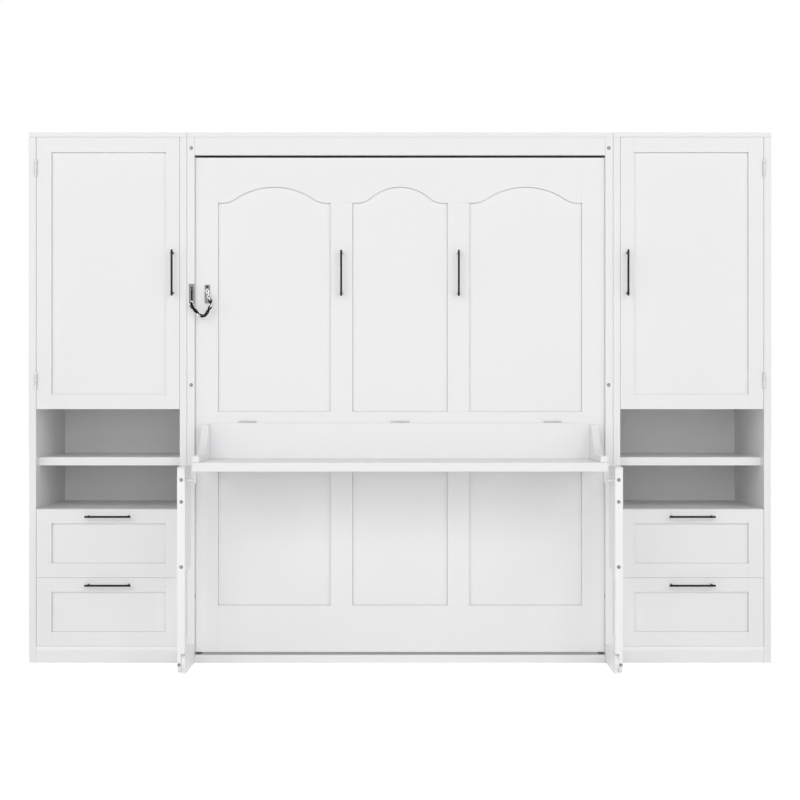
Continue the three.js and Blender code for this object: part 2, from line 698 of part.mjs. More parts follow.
// ---- Safety chain ----
function safetyChain() {
  const trackX = -(bayInside + baySideThickness / 2 - trackInset);
  const plateY = [-seam - trackThickness, -seam];
  const trackZ = [trackCentreHeight - trackHeight / 2, trackCentreHeight + trackHeight / 2];
  const plate = box([trackX - trackWidth / 2, trackX + trackWidth / 2], plateY, trackZ);
  const slotX = [trackX - trackSlotWidth / 2, trackX + trackSlotWidth / 2];
  const slotZ = [trackZ[0] + trackSlotFoot, trackZ[1] - trackSlotHead];
  const slot = box(slotX, [plateY[0] - bite, bite], slotZ);
  piece('chain_track', cut(plate, slot), brightSteel);

  const keeperY = [faceSetback - seam - trackThickness, faceSetback - seam];
  const keeperZ = [keeperCentreHeight - keeperHeight / 2, keeperCentreHeight + keeperHeight / 2];
  const keeperX = [-keeperOffset - keeperWidth / 2, -keeperOffset + keeperWidth / 2];
  const keeper = box(keeperX, keeperY, keeperZ);
  const hookY = plateY[0] - chainStandoff;
  const hanging = chainPath.map(([across, forward, up]) => (
    new THREE.Vector3(trackX + across, hookY - forward, trackZ[0] + up)));
  const route = new THREE.CatmullRomCurve3([
    ...hanging,
    new THREE.Vector3(-keeperOffset + keeperHookReach, keeperY[0] - chainStandoff, keeperZ[0] + keeperHookRise),
    new THREE.Vector3(-keeperOffset, keeperY[0] - chainRadius + bite, keeperZ[1] - keeperHookInset),
  ]);
  const ring = new THREE.Shape();
  ring.absarc(0, 0, chainRadius, 0, 2 * Math.PI, false);
  const chain = new THREE.ExtrudeGeometry(ring, { steps: 24, curveSegments: 4, extrudePath: route });
  piece('safety_chain', join(keeper, chain), brightSteel);
}

middleCabinet();
for (const [label, side] of sides) {
  tower(label, side);
  door(label, side);
  drawer('upper', label, side, upperDrawerBottom);
  drawer('lower', label, side, plinthHeight + frontSeamGap);
}
bedFace();
bedFrame();
slatDeck();
supportLegs();
liftStruts();
deskTop();
deskGallery();
deskLegs();
safetyChain();

object.position.y = (deskProjection - cabinetDepth) / 2;

export default object;
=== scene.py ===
# A murphy wall bed in white lacquer: the folded bed behind its arched front, the desk that hangs
# on it, the two lift struts inside the middle cabinet, and a storage tower on each side.
import math

import bmesh
import bpy
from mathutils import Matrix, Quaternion, Vector


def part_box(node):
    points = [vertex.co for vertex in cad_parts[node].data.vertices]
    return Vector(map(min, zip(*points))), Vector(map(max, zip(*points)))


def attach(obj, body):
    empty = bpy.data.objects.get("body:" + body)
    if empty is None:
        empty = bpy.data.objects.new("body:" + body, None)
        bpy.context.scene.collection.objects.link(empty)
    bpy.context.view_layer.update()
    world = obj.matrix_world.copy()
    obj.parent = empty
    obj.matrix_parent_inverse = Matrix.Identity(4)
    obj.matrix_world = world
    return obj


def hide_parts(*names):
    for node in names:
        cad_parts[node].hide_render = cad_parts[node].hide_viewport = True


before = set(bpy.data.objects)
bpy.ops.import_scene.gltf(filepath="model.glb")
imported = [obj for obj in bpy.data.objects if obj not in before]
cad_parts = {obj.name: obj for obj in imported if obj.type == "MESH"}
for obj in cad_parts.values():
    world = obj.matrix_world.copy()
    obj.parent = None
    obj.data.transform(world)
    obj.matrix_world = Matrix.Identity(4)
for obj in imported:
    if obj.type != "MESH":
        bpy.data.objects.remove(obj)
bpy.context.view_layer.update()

MM = 0.001
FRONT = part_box("bay_side_left")[0][1]  # the cabinets' front plane, in the row frame


def at(x, y, z):
    """A point from millimetres: x from the middle, y from the cabinets' front plane, z from the floor."""
    return Vector((x * MM, FRONT + y * MM, z * MM))


# ---------------------------------------------------------------- materials


def linear(hex_colour):
    """An sRGB hex colour as the linear one that a shader reads."""
    parts = [int(hex_colour[i:i + 2], 16) / 255 for i in (1, 3, 5)]
    return [c / 12.92 if c <= 0.04045 else ((c + 0.055) / 1.055) ** 2.4 for c in parts] + [1.0]


def add(tree, kind, inputs, **settings):
    """Adds a node, with its settings, its values and its links."""
    made = tree.nodes.new(kind)
    for name, value in settings.items():
        setattr(made, name, value)
    for name, value in inputs.items():
        if isinstance(value, bpy.types.NodeSocket):
            tree.links.new(value, made.inputs[name])
        else:
            made.inputs[name].default_value = value
    return made


def start_material(name, shader_values):
    """A material with its shader, and the tree and the object coordinates to draw on it with."""
    material = bpy.data.materials.new(name)
    material.use_nodes = True
    tree = material.node_tree
    tree.nodes.clear()
    shader = add(tree, "ShaderNodeBsdfPrincipled", shader_values)
    add(tree, "ShaderNodeOutputMaterial", {"Surface": shader.outputs["BSDF"]})
    place = add(tree, "ShaderNodeTexCoord", {}).outputs["Object"]
    return material, tree, shader, place


def colour_steps(tree, factor, *steps):
    """The colours between the given ones, where factor runs from 0 to 1. Each step is (place, hex)."""
    ramp = add(tree, "ShaderNodeValToRGB", {"Fac": factor})
    stops = ramp.color_ramp.elements
    while len(stops) < len(steps):
        stops.new(0.5)
    for stop, (position, colour) in zip(stops, steps):
        stop.position = position
        stop.color = linear(colour)
    return ramp.outputs["Color"]


def white_lacquer():
    """Fibreboard sprayed with satin white lacquer: an even white with a faint cloud where the coat
    is thicker, and the fine orange peel that the gun leaves."""
    material, tree, shader, place = start_material("sprayed_white_lacquer", {"IOR": 1.5})
    cloud = add(tree, "ShaderNodeTexNoise", {"Vector": place, "Scale": 1 / 0.35, "Detail": 3.0})
    colour = colour_steps(tree, cloud.outputs["Fac"], (0.3, "#eeedee"), (0.7, "#f0eff0"))
    tree.links.new(colour, shader.inputs["Base Color"])
    sheen_patch = add(tree, "ShaderNodeMapRange", {
        "Value": cloud.outputs["Fac"], "To Min": 0.38, "To Max": 0.46,
    })
    tree.links.new(sheen_patch.outputs["Result"], shader.inputs["Roughness"])
    peel = add(tree, "ShaderNodeTexNoise", {"Vector": place, "Scale": 1 / 0.0028, "Detail": 2.0})
    bump = add(tree, "ShaderNodeBump", {"Height": peel.outputs["Fac"], "Strength": 0.25, "Distance": 0.00006})
    tree.links.new(bump.outputs["Normal"], shader.inputs["Normal"])
    return material


def white_melamine():
    """Chipboard faced with white melamine paper: a flatter, slightly cooler white than the lacquer,
    with the small pressed pearl grain of the press plate. Its white is lighter than the lacquer's, partly the
    paper's own tone and partly painted light that brightens the shaded boards it is used on."""
    material, tree, shader, place = start_material("white_melamine_board", {"IOR": 1.5})
    cloud = add(tree, "ShaderNodeTexNoise", {"Vector": place, "Scale": 1 / 0.5, "Detail": 2.0})
    # The lighter white is partly painted light, brightening the shaded insides it is used on.
    colour = colour_steps(tree, cloud.outputs["Fac"], (0.3, "#f7f6f7"), (0.7, "#f8f7f8"))
    tree.links.new(colour, shader.inputs["Base Color"])
    pearl = add(tree, "ShaderNodeTexVoronoi", {"Vector": place, "Scale": 1 / 0.0018})
    dull = add(tree, "ShaderNodeMapRange", {
        "Value": pearl.outputs["Distance"], "To Min": 0.44, "To Max": 0.54,
    })
    tree.links.new(dull.outputs["Result"], shader.inputs["Roughness"])
    bump = add(tree, "ShaderNodeBump", {
        "Height": pearl.outputs["Distance"], "Strength": 0.3, "Distance": 0.00005,
    })
    tree.links.new(bump.outputs["Normal"], shader.inputs["Normal"])
    return material


def raw_hardboard():
    """The bare back of a hardboard sheet: brown pressed fibre with the print of the wire screen."""
    material, tree, shader, place = start_material("raw_hardboard", {"Roughness": 0.85})
    fibre = add(tree, "ShaderNodeTexNoise", {"Vector": place, "Scale": 1 / 0.012, "Detail": 6.0})
    colour = colour_steps(tree, fibre.outputs["Fac"], (0.25, "#77563a"), (0.55, "#8c6a49"), (0.8, "#9c7a57"))
    tree.links.new(colour, shader.inputs["Base Color"])
    screen = add(tree, "ShaderNodeTexVoronoi", {"Vector": place, "Scale": 1 / 0.003})
    bump = add(tree, "ShaderNodeBump", {
        "Height": screen.outputs["Distance"], "Strength": 0.6, "Distance": 0.0002,
    })
    tree.links.new(bump.outputs["Normal"], shader.inputs["Normal"])
    return material


def pine():
    """Planed pine, unfinished: long grain along the slat, a shade apart from slat to slat."""
    material, tree, shader, place = start_material("planed_pine", {"Roughness": 0.62, "IOR": 1.5})
    board = add(tree, "ShaderNodeMapping", {"Vector": place, "Scale": (0.6, 4.0, 9.0)})
    board_tone = add(tree, "ShaderNodeTexNoise", {
        "Vector": board.outputs["Vector"], "Scale": 1.0, "Detail": 1.0,
    })
    stretched = add(tree, "ShaderNodeMapping", {"Vector": place, "Scale": (3.0, 60.0, 60.0)})
    ring = add(tree, "ShaderNodeTexNoise", {
        "Vector": stretched.outputs["Vector"], "Scale": 1.6, "Detail": 6.0, "Distortion": 0.7,
    })
    both = add(
        tree, "ShaderNodeMath", {0: ring.outputs["Fac"], 1: board_tone.outputs["Fac"]}, operation="ADD",
    )
    half = add(tree, "ShaderNodeMath", {0: both.outputs["Value"], 1: 0.5}, operation="MULTIPLY")
    colour = colour_steps(
        tree, half.outputs["Value"],
        (0.35, "#b98a55"), (0.47, "#d6ad78"), (0.6, "#e2c393"), (0.75, "#ead2a8"),
    )
    tree.links.new(colour, shader.inputs["Base Color"])
    bump = add(tree, "ShaderNodeBump", {"Height": ring.outputs["Fac"], "Strength": 0.4, "Distance": 0.0003})
    tree.links.new(bump.outputs["Normal"], shader.inputs["Normal"])
    return material


def black_powder_coat(name, colours, grain, depth, roughness, ior=1.5):
    """Steel with a baked black powder coat: the melted powder leaves a fine even pebble that
    breaks up the shine. Its grain is drawn at the size given, in millimetres."""
    material, tree, shader, place = start_material(name, {"IOR": ior})
    pebble = add(tree, "ShaderNodeTexNoise", {"Vector": place, "Scale": 1 / (grain * MM), "Detail": 2.0})
    colour = colour_steps(tree, pebble.outputs["Fac"], (0.3, colours[0]), (0.7, colours[1]))
    tree.links.new(colour, shader.inputs["Base Color"])
    dull = add(tree, "ShaderNodeMapRange", {
        "Value": pebble.outputs["Fac"], "To Min": roughness - 0.06, "To Max": roughness + 0.06,
    })
    tree.links.new(dull.outputs["Result"], shader.inputs["Roughness"])
    bump = add(tree, "ShaderNodeBump", {
        "Height": pebble.outputs["Fac"], "Strength": 0.5, "Distance": depth * MM,
    })
    tree.links.new(bump.outputs["Normal"], shader.inputs["Normal"])
    return material


def plated_steel(name, colours, roughness, patch, brushed=0.0):
    """Steel with a thin bright plating. The colour and the shine drift a little over each patch, in
    millimetres, and a brushed one has fine lines along its height."""
    material, tree, shader, place = start_material(name, {"Metallic": 1.0})
    drift = add(tree, "ShaderNodeTexNoise", {"Vector": place, "Scale": 1 / (patch * MM), "Detail": 4.0})
    colour = colour_steps(tree, drift.outputs["Fac"], (0.3, colours[0]), (0.7, colours[1]))
    tree.links.new(colour, shader.inputs["Base Color"])
    shine = add(tree, "ShaderNodeMapRange", {
        "Value": drift.outputs["Fac"], "To Min": roughness * 0.75, "To Max": roughness * 1.3,
    })
    tree.links.new(shine.outputs["Result"], shader.inputs["Roughness"])
    if brushed:
        lines = add(tree, "ShaderNodeMapping", {"Vector": place, "Scale": (1.0, 1.0, 0.04)})
        brush = add(tree, "ShaderNodeTexNoise", {
            "Vector": lines.outputs["Vector"], "Scale": 1 / (0.6 * MM), "Detail": 2.0,
        })
        bump = add(tree, "ShaderNodeBump", {
            "Height": brush.outputs["Fac"], "Strength": brushed, "Distance": 0.00005,
        })
        tree.links.new(bump.outputs["Normal"], shader.inputs["Normal"])
    return material


def black_enamel():
    """A gas strut's tube: deep gloss black stove enamel on drawn steel, with a trace of haze."""
    material, tree, shader, place = start_material(
        "gloss_black_enamel", {"Coat Weight": 0.6, "Coat Roughness": 0.06},
    )
    haze = add(tree, "ShaderNodeTexNoise", {"Vector": place, "Scale": 1 / 0.03, "Detail": 4.0})
    colour = colour_steps(tree, haze.outputs["Fac"], (0.3, "#101011"), (0.7, "#17171a"))
    tree.links.new(colour, shader.inputs["Base Color"])
    gloss = add(tree, "ShaderNodeMapRange", {"Value": haze.outputs["Fac"], "To Min": 0.14, "To Max": 0.26})
    tree.links.new(gloss.outputs["Result"], shader.inputs["Roughness"])
    return material


def black_nylon():
    """Moulded black nylon, for bushes and feet: dull, with a fine spark-eroded mould texture."""
    material, tree, shader, place = start_material("moulded_black_nylon", {"IOR": 1.53})
    spark = add(tree, "ShaderNodeTexNoise", {"Vector": place, "Scale": 1 / 0.001, "Detail": 3.0})
    colour = colour_steps(tree, spark.outputs["Fac"], (0.3, "#1f1f20"), (0.7, "#29292a"))
    tree.links.new(colour, shader.inputs["Base Color"])
    dull = add(tree, "ShaderNodeMapRange", {"Value": spark.outputs["Fac"], "To Min": 0.5, "To Max": 0.65})
    tree.links.new(dull.outputs["Result"], shader.inputs["Roughness"])
    bump = add(tree, "ShaderNodeBump", {"Height": spark.outputs["Fac"], "Strength": 0.5, "Distance": 0.00005})
    tree.links.new(bump.outputs["Normal"], shader.inputs["Normal"])
    return material


def white_nylon():
    """Moulded white nylon, for the sleeves of the desk legs' pins: soft sheen and a fine mould grain."""
    material, tree, shader, place = start_material("moulded_white_nylon", {"IOR": 1.53})
    grain = add(tree, "ShaderNodeTexNoise", {"Vector": place, "Scale": 1 / 0.0012, "Detail": 3.0})
    colour = colour_steps(tree, grain.outputs["Fac"], (0.3, "#dedddd"), (0.7, "#e4e3e3"))
    tree.links.new(colour, shader.inputs["Base Color"])
    dull = add(tree, "ShaderNodeMapRange", {"Value": grain.outputs["Fac"], "To Min": 0.38, "To Max": 0.5})
    tree.links.new(dull.outputs["Result"], shader.inputs["Roughness"])
    bump = add(tree, "ShaderNodeBump", {"Height": grain.outputs["Fac"], "Strength": 0.4, "Distance": 0.00004})
    tree.links.new(bump.outputs["Normal"], shader.inputs["Normal"])
    return material


LACQUER = white_lacquer()
MELAMINE_PAINTED_LIGHTER = white_melamine()
HARDBOARD = raw_hardboard()
PINE = pine()
PULL_BLACK = black_powder_coat("satin_black_powder_coat", ("#060606", "#0b0b0b"), 0.6, 0.03, 0.45, 1.33)
FRAME_BLACK = black_powder_coat("matt_black_powder_coat", ("#1c1c1e", "#27272a"), 1.2, 0.06, 0.58)
ZINC = plated_steel("zinc_plated_steel", ("#acacad", "#c4c4c5"), 0.34, 18, brushed=0.3)
NICKEL = plated_steel("bright_nickel_plate", ("#77787a", "#8c8d90"), 0.24, 9)
SATIN_NICKEL = plated_steel("satin_nickel_plate", ("#646466", "#727274"), 0.36, 9)
DARK_NICKEL = plated_steel("black_nickel_plate", ("#0c0c0d", "#1e1e20"), 0.2, 5)
CHROME = plated_steel("hard_chrome_rod", ("#c9cbce", "#d8dadc"), 0.08, 40)
ENAMEL = black_enamel()
NYLON = black_nylon()
WHITE_NYLON = white_nylon()

# ---------------------------------------------------------------- modelling


def clear_selection():
    """Leaves nothing selected, because an operator acts on all that is."""
    if bpy.context.mode != "OBJECT":
        bpy.ops.object.mode_set(mode="OBJECT")
    bpy.ops.object.select_all(action="DESELECT")


def take(piece):
    """Selects one piece and makes it the active one."""
    clear_selection()
    piece.select_set(True)
    bpy.context.view_layer.objects.active = piece


def coat(piece, material):
    piece.data.materials.clear()
    piece.data.materials.append(material)
    return piece


def coat_faces(piece, material, test):
    """Gives a second material to the faces whose middle and normal pass the test."""
    piece.data.materials.append(material)
    for face in piece.data.polygons:
        if test(face.center, face.normal):
            face.material_index = len(piece.data.materials) - 1
    return piece


def apply_modifier(piece, kind, **settings):
    take(piece)
    modifier = piece.modifiers.new(kind.lower(), kind)
    for name, value in settings.items():
        setattr(modifier, name, value)
    bpy.ops.object.modifier_apply(modifier=modifier.name)


def ease(piece, width, segments=1):
    """Takes the sharpness off the edges, as sanding and paint do."""
    apply_modifier(
        piece, "BEVEL", width=width * MM, segments=segments,
        limit_method="ANGLE", angle_limit=math.radians(30),
    )
    return piece


def block(low, high, material, eased=0.0, segments=1):
    """A sawn block between two corners, with eased edges."""
    low, high = Vector(low), Vector(high)
    low, high = Vector(map(min, low, high)), Vector(map(max, low, high))
    clear_selection()
    bpy.ops.mesh.primitive_cube_add(size=1, location=(low + high) / 2, scale=high - low)
    bpy.ops.object.transform_apply(location=True, rotation=True, scale=True)
    piece = coat(bpy.context.object, material)
    return ease(piece, eased, segments) if eased else piece


def rod(start, end, radius, material, eased=0.0, sides=28):
    """A turned rod between two points. Its radius is in millimetres."""
    start, end = Vector(start), Vector(end)
    clear_selection()
    turn = (end - start).to_track_quat("Z", "Y").to_euler()
    bpy.ops.mesh.primitive_cylinder_add(
        vertices=sides, radius=radius * MM, depth=(end - start).length,
        location=(start + end) / 2, rotation=turn,
    )
    bpy.ops.object.transform_apply(location=True, rotation=True, scale=True)
    piece = coat(bpy.context.object, material)
    if eased:
        ease(piece, eased, 2)
    take(piece)
    bpy.ops.object.shade_smooth_by_angle(angle=math.radians(35))
    return piece


def sawn_board(outline, x0, x1, material, eased=0.0):
    """A board sawn to an outline of points in (y, z), all in millimetres, from x0 to x1."""
    clear_selection()
    bpy.ops.mesh.primitive_circle_add(vertices=len(outline), radius=1, fill_type="NGON")
    piece = bpy.context.object
    for corner, (y, z) in zip(piece.data.vertices, outline):
        corner.co = at(x0, y, z)
    extrude_all(piece, ((x1 - x0) * MM, 0, 0))
    coat(piece, material)
    return ease(piece, eased) if eased else piece


def extrude_all(piece, travel):
    """Draws a flat face out to a closed solid that faces outwards."""
    take(piece)
    bpy.ops.object.transform_apply(location=True, rotation=True, scale=True)
    bpy.ops.object.mode_set(mode="EDIT")
    bpy.ops.mesh.select_all(action="SELECT")
    bpy.ops.mesh.extrude_region_move(TRANSFORM_OT_translate={"value": travel})
    bpy.ops.mesh.select_all(action="SELECT")
    bpy.ops.mesh.normals_make_consistent(inside=False)
    bpy.ops.object.mode_set(mode="OBJECT")


def sink(piece, test, margin, depth):
    """Insets the faces that pass the test by margin, and pushes the field in by depth, in millimetres."""
    take(piece)
    bpy.ops.object.mode_set(mode="EDIT")
    bpy.ops.mesh.select_mode(type="FACE")
    bpy.ops.mesh.select_all(action="DESELECT")
    mesh = bmesh.from_edit_mesh(piece.data)
    mesh.normal_update()
    inward = Vector()
    for face in mesh.faces:
        if test(face.calc_center_median(), face.normal):
            face.select_set(True)
            inward = -face.normal.copy()
    bmesh.update_edit_mesh(piece.data)
    bpy.ops.mesh.inset(thickness=margin * MM)
    bpy.ops.mesh.extrude_region_move(TRANSFORM_OT_translate={"value": inward * depth * MM})
    bpy.ops.object.mode_set(mode="OBJECT")
    return piece


def carve(piece, *cutters):
    """Cuts the cutters' shapes out of the piece, and takes the cutters away."""
    for cutter in cutters:
        apply_modifier(piece, "BOOLEAN", operation="DIFFERENCE", object=cutter, solver="EXACT")
        bpy.data.objects.remove(cutter)
    return piece


def gather(name, parts):
    """Joins loose parts into one piece with a name."""
    clear_selection()
    for part in parts:
        part.select_set(True)
    bpy.context.view_layer.objects.active = parts[0]
    if len(parts) > 1:
        bpy.ops.object.join()
    parts[0].name = name
    parts[0].data.name = name
    return parts[0]


def copy_of(piece, name, move=(0, 0, 0)):
    """A copy with a mesh of its own, moved by so many metres."""
    twin = piece.copy()
    twin.data = piece.data.copy()
    twin.name = name
    bpy.context.scene.collection.objects.link(twin)
    take(twin)
    twin.location = Vector(move)
    bpy.ops.object.transform_apply(location=True, rotation=True, scale=True)
    return twin


def mirrored(piece, name):
    """The same piece on the other side of the middle, with a mesh of its own that faces outwards."""
    twin = copy_of(piece, name)
    twin.scale.x = -1
    bpy.ops.object.transform_apply(location=True, rotation=True, scale=True)
    bpy.ops.object.mode_set(mode="EDIT")
    bpy.ops.mesh.select_all(action="SELECT")
    bpy.ops.mesh.normals_make_consistent(inside=False)
    bpy.ops.object.mode_set(mode="OBJECT")
    return twin


def settle(piece, body, slot, *nodes):
    """The piece rides on its body, and stands for its CAD nodes."""
    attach(piece, body)
    if nodes:
        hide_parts(*nodes)


def settle_pair(piece, stem, body, slot, *nodes):
    """The piece was made on the left, and its mirrored twin goes on the right. Body and nodes name
    their side by a pair of braces."""
    twin = mirrored(piece, f"{stem}_right")
    piece.name = f"{stem}_left"
    for side, made in (("left", piece), ("right", twin)):
        settle(made, body.format(side), slot, *[node.format(side) for node in nodes])


def arc(centre, radius, start, end, steps):
    """Points round a centre, from one angle to another, in degrees."""
    angles = [math.radians(start + (end - start) * i / steps) for i in range(steps + 1)]
    return [(centre[0] + radius * math.cos(a), centre[1] + radius * math.sin(a)) for a in angles]


# ---------------------------------------------------------------- screws and hinges


def swept(start, start_handle, end_handle, end, steps):
    """Points on the smooth curve from start to end that the two handles draw it towards."""
    line = []
    for i in range(steps + 1):
        t = i / steps
        shares = ((1 - t) ** 3, 3 * t * (1 - t) ** 2, 3 * t * t * (1 - t), t ** 3)
        corners = (start, start_handle, end_handle, end)
        line.append(tuple(sum(share * corner[k] for share, corner in zip(shares, corners)) for k in (0, 1)))
    return line


def bolt_head(centre, radius=4.2, out=(0, -1, 0), proud=1.1):
    """A zinc-plated socket bolt: a black ring round the head that is painted shade for the countersink's
    shadow, the head, and the socket in its middle.
    """
    out = Vector(out)
    # The black ring is painted shade, the shadow round the head in its countersink.
    painted_shade_ring = rod(centre - out * 2 * MM, centre + out * 0.3 * MM, radius * 1.6, DARK_NICKEL, 0.25, 24)
    head = rod(centre - out * 2 * MM, centre + out * proud * MM, radius, ZINC, 0.35, 24)

    def outer_end(middle, normal):
        return normal.dot(out) > 0.99 and (middle - centre).dot(out) > 0

    sink(head, outer_end, radius * 0.4, 1.6)
    return [painted_shade_ring, head]


def knuckles(start, end, radius, material, count, first):
    """Every second knuckle of a hinge's barrel, from the first or the second one on."""
    parts = []
    step = (end - start) / count
    gap = step.normalized() * 0.25 * MM
    for i in range(first, count, 2):
        parts.append(rod(start + step * i + gap, start + step * (i + 1) - gap, radius, material, 0.4, 20))
    return parts


# ---------------------------------------------------------------- cabinets

CELL_INNER, CELL_OUTER = -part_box("tower_deck_left")[1][0] / MM, -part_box("tower_deck_left")[0][0] / MM
PIVOT_Y, PIVOT_Z = 34, 265
STRUT_Y, STRUT_TOP, STRUT_FOOT, STRUT_X = 125, 736, 106, -762


def plain_board(node, material, eased=0.9):
    return gather(node + "_board", [block(*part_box(node), material, eased)])


def backing_sheet(node):
    """A hardboard back: white foil on the room side, bare brown fibre on the wall side."""
    sheet = plain_board(node, MELAMINE_PAINTED_LIGHTER, 0.4)
    return coat_faces(sheet, HARDBOARD, lambda middle, normal: normal.y > 0.9)


def make_middle_cabinet():
    for node in ("bay_top", "fascia", "base_rail"):
        settle(plain_board(node, LACQUER), "cabinet", "white_board", node)
    settle(backing_sheet("bay_back"), "cabinet", "white_board", "bay_back")
    settle(plain_board("wall_rail", MELAMINE_PAINTED_LIGHTER), "cabinet", "white_board", "wall_rail")
    side = block(*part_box("bay_side_left"), LACQUER)
    inside = side.bound_box[6][0] / MM
    hole = 24
    carve(
        side,
        rod(at(inside + 1, PIVOT_Y, PIVOT_Z), at(inside - hole, PIVOT_Y, PIVOT_Z), 6.3, LACQUER),
        rod(at(inside + 1, STRUT_Y, STRUT_TOP), at(inside - hole, STRUT_Y, STRUT_TOP), 5.3, LACQUER),
    )
    ease(side, 0.4)
    settle_pair(gather("bay_side", [side]), "bay_side_board", "cabinet", "white_board", "bay_side_{}")

    bolts = []
    for z in (2060, 1112):
        bolts += bolt_head(at(-835, 0, z))
    settle_pair(gather("bay_bolts", bolts), "bay_side_bolts", "cabinet", "hinge_steel")


def make_pivot_fittings():
    """On the inside of each cabinet side: the nylon bush round the bed's pivot pin, and the screwed
    plate that carries the top of the lift strut."""
    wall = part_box("bay_side_left")[1][0] / MM
    thick = 2.5
    bush = rod(at(wall - 1, PIVOT_Y, PIVOT_Z), at(wall + 1.6, PIVOT_Y, PIVOT_Z), 15, NYLON, 0.5, 32)
    carve(bush, rod(at(wall - 2, PIVOT_Y, PIVOT_Z), at(wall + 4, PIVOT_Y, PIVOT_Z), 6.4, NYLON))
    plate = block(
        at(wall - 0.2, STRUT_Y - 24, STRUT_TOP - 36), at(wall + thick, STRUT_Y + 24, STRUT_TOP + 36),
        FRAME_BLACK,
    )
    carve(plate, rod(at(wall - 2, STRUT_Y, STRUT_TOP), at(wall + 4, STRUT_Y, STRUT_TOP), 5.5, FRAME_BLACK))
    ease(plate, 0.8)
    heads = []
    for y in (-15, 15):
        for z in (-26, 26):
            heads += bolt_head(at(wall + thick, STRUT_Y + y, STRUT_TOP + z), 3.4, (1, 0, 0), 1.2)
    settle_pair(gather("pivot_fittings", [bush, plate, *heads]), "pivot_fittings", "cabinet", "black_steel")


def make_towers():
    for stem in ("tower_outer_side", "tower_inner_side", "tower_top"):
        piece = plain_board(f"{stem}_left", LACQUER)
        settle_pair(piece, f"{stem}_board", "cabinet", "white_board", stem + "_{}")
    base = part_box("tower_base_left")
    top, bottom = base[1][2], base[1][2] - 18 * MM
    plinth = block(base[0], (base[1][0], base[0][1] + 18 * MM, bottom), LACQUER, 0.9)
    floor = block((base[0][0], base[0][1], bottom), (base[1][0], base[1][1], top), MELAMINE_PAINTED_LIGHTER, 0.9)
    base_boards = gather("tower_base", [plinth, floor])
    settle_pair(base_boards, "tower_base_board", "cabinet", "white_board", "tower_base_{}")
    for stem in ("tower_deck", "niche_floor", "niche_shelf", "cabinet_shelf"):
        piece = plain_board(f"{stem}_left", LACQUER if stem.startswith("niche") else MELAMINE_PAINTED_LIGHTER)
        settle_pair(piece, f"{stem}_board", "cabinet", "white_board", stem + "_{}")
    back = backing_sheet("tower_back_left")
    settle_pair(back, "tower_back_sheet", "cabinet", "white_board", "tower_back_{}")

    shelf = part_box("cabinet_shelf_left")
    pins = []
    for end, inward in ((shelf[0][0], 1), (shelf[1][0], -1)):
        for y in (shelf[0][1] + 45 * MM, shelf[1][1] - 45 * MM):
            root = Vector((end, y, shelf[0][2] - 2.6 * MM))
            reach = Vector((inward * MM, 0, 0))
            pins.append(rod(root - reach, root + 9 * reach, 2.5, NICKEL, 0.4, 16))
            pins.append(rod(root - 0.2 * reach, root + 1.2 * reach, 4.2, NICKEL, 0.3, 16))
    settle_pair(gather("shelf_pins", pins), "shelf_pins", "cabinet", "hinge_steel")


# ---------------------------------------------------------------- tower fronts

INNER_STILE, OUTER_STILE = 55, 60
DOOR_RAIL, DRAWER_RAIL = 60, 57
FRONT_RELIEF = 12
PANEL_GAP, PANEL_STEP = 1.2, 2.5
TIGHT_GAP = 0.4


def framed_front(low, high, rail):
    """Two full-height stiles, two rails between them and a sunk panel. The eased edges leave a fine
    line at each joint, and the panel's face stands a little clear of the frame all round."""
    inner0, inner1 = low[0] + OUTER_STILE * MM, high[0] - INNER_STILE * MM
    under, over = low[2] + rail * MM, high[2] - rail * MM
    gap, tight, sunk = PANEL_GAP * MM, TIGHT_GAP * MM, low[1] + FRONT_RELIEF * MM
    step = sunk + PANEL_STEP * MM
    return [
        block(low, (inner0, high[1], high[2]), LACQUER, 0.5),
        block((inner1, low[1], low[2]), high, LACQUER, 0.5),
        block((inner0, low[1], low[2]), (inner1, high[1], under), LACQUER, 0.5),
        block((inner0, low[1], over), (inner1, high[1], high[2]), LACQUER, 0.5),
        block((inner0, step, under), (inner1, high[1], over), LACQUER, 0.25),
        block(
            (inner0 + 1.6 * gap, sunk, under + tight), (inner1 - tight, step + MM, over - gap),
            LACQUER, 0.25,
        ),
    ]


def bar_pull(node, upright):
    """A flat bar with rounded edges on two turned posts, each with a small collar."""
    low, high = map(Vector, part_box(node))
    middle = (low + high) / 2
    bar = block(low, (high[0], low[1] + 9 * MM, high[2]), PULL_BLACK, 2.2, 3)
    half = (high[2] - low[2] if upright else high[0] - low[0]) / 2 - 12 * MM
    parts = [bar]
    for way in (-half, half):
        x, z = (middle.x, middle.z + way) if upright else (middle.x + way, middle.z)
        parts.append(rod((x, low[1] + 6 * MM, z), (x, high[1], z), 3.9, PULL_BLACK, 0, 20))
        parts.append(rod((x, high[1] - 3 * MM, z), (x, high[1], z), 4.9, PULL_BLACK, 0.8, 20))
    return gather(node + "_pull", parts)


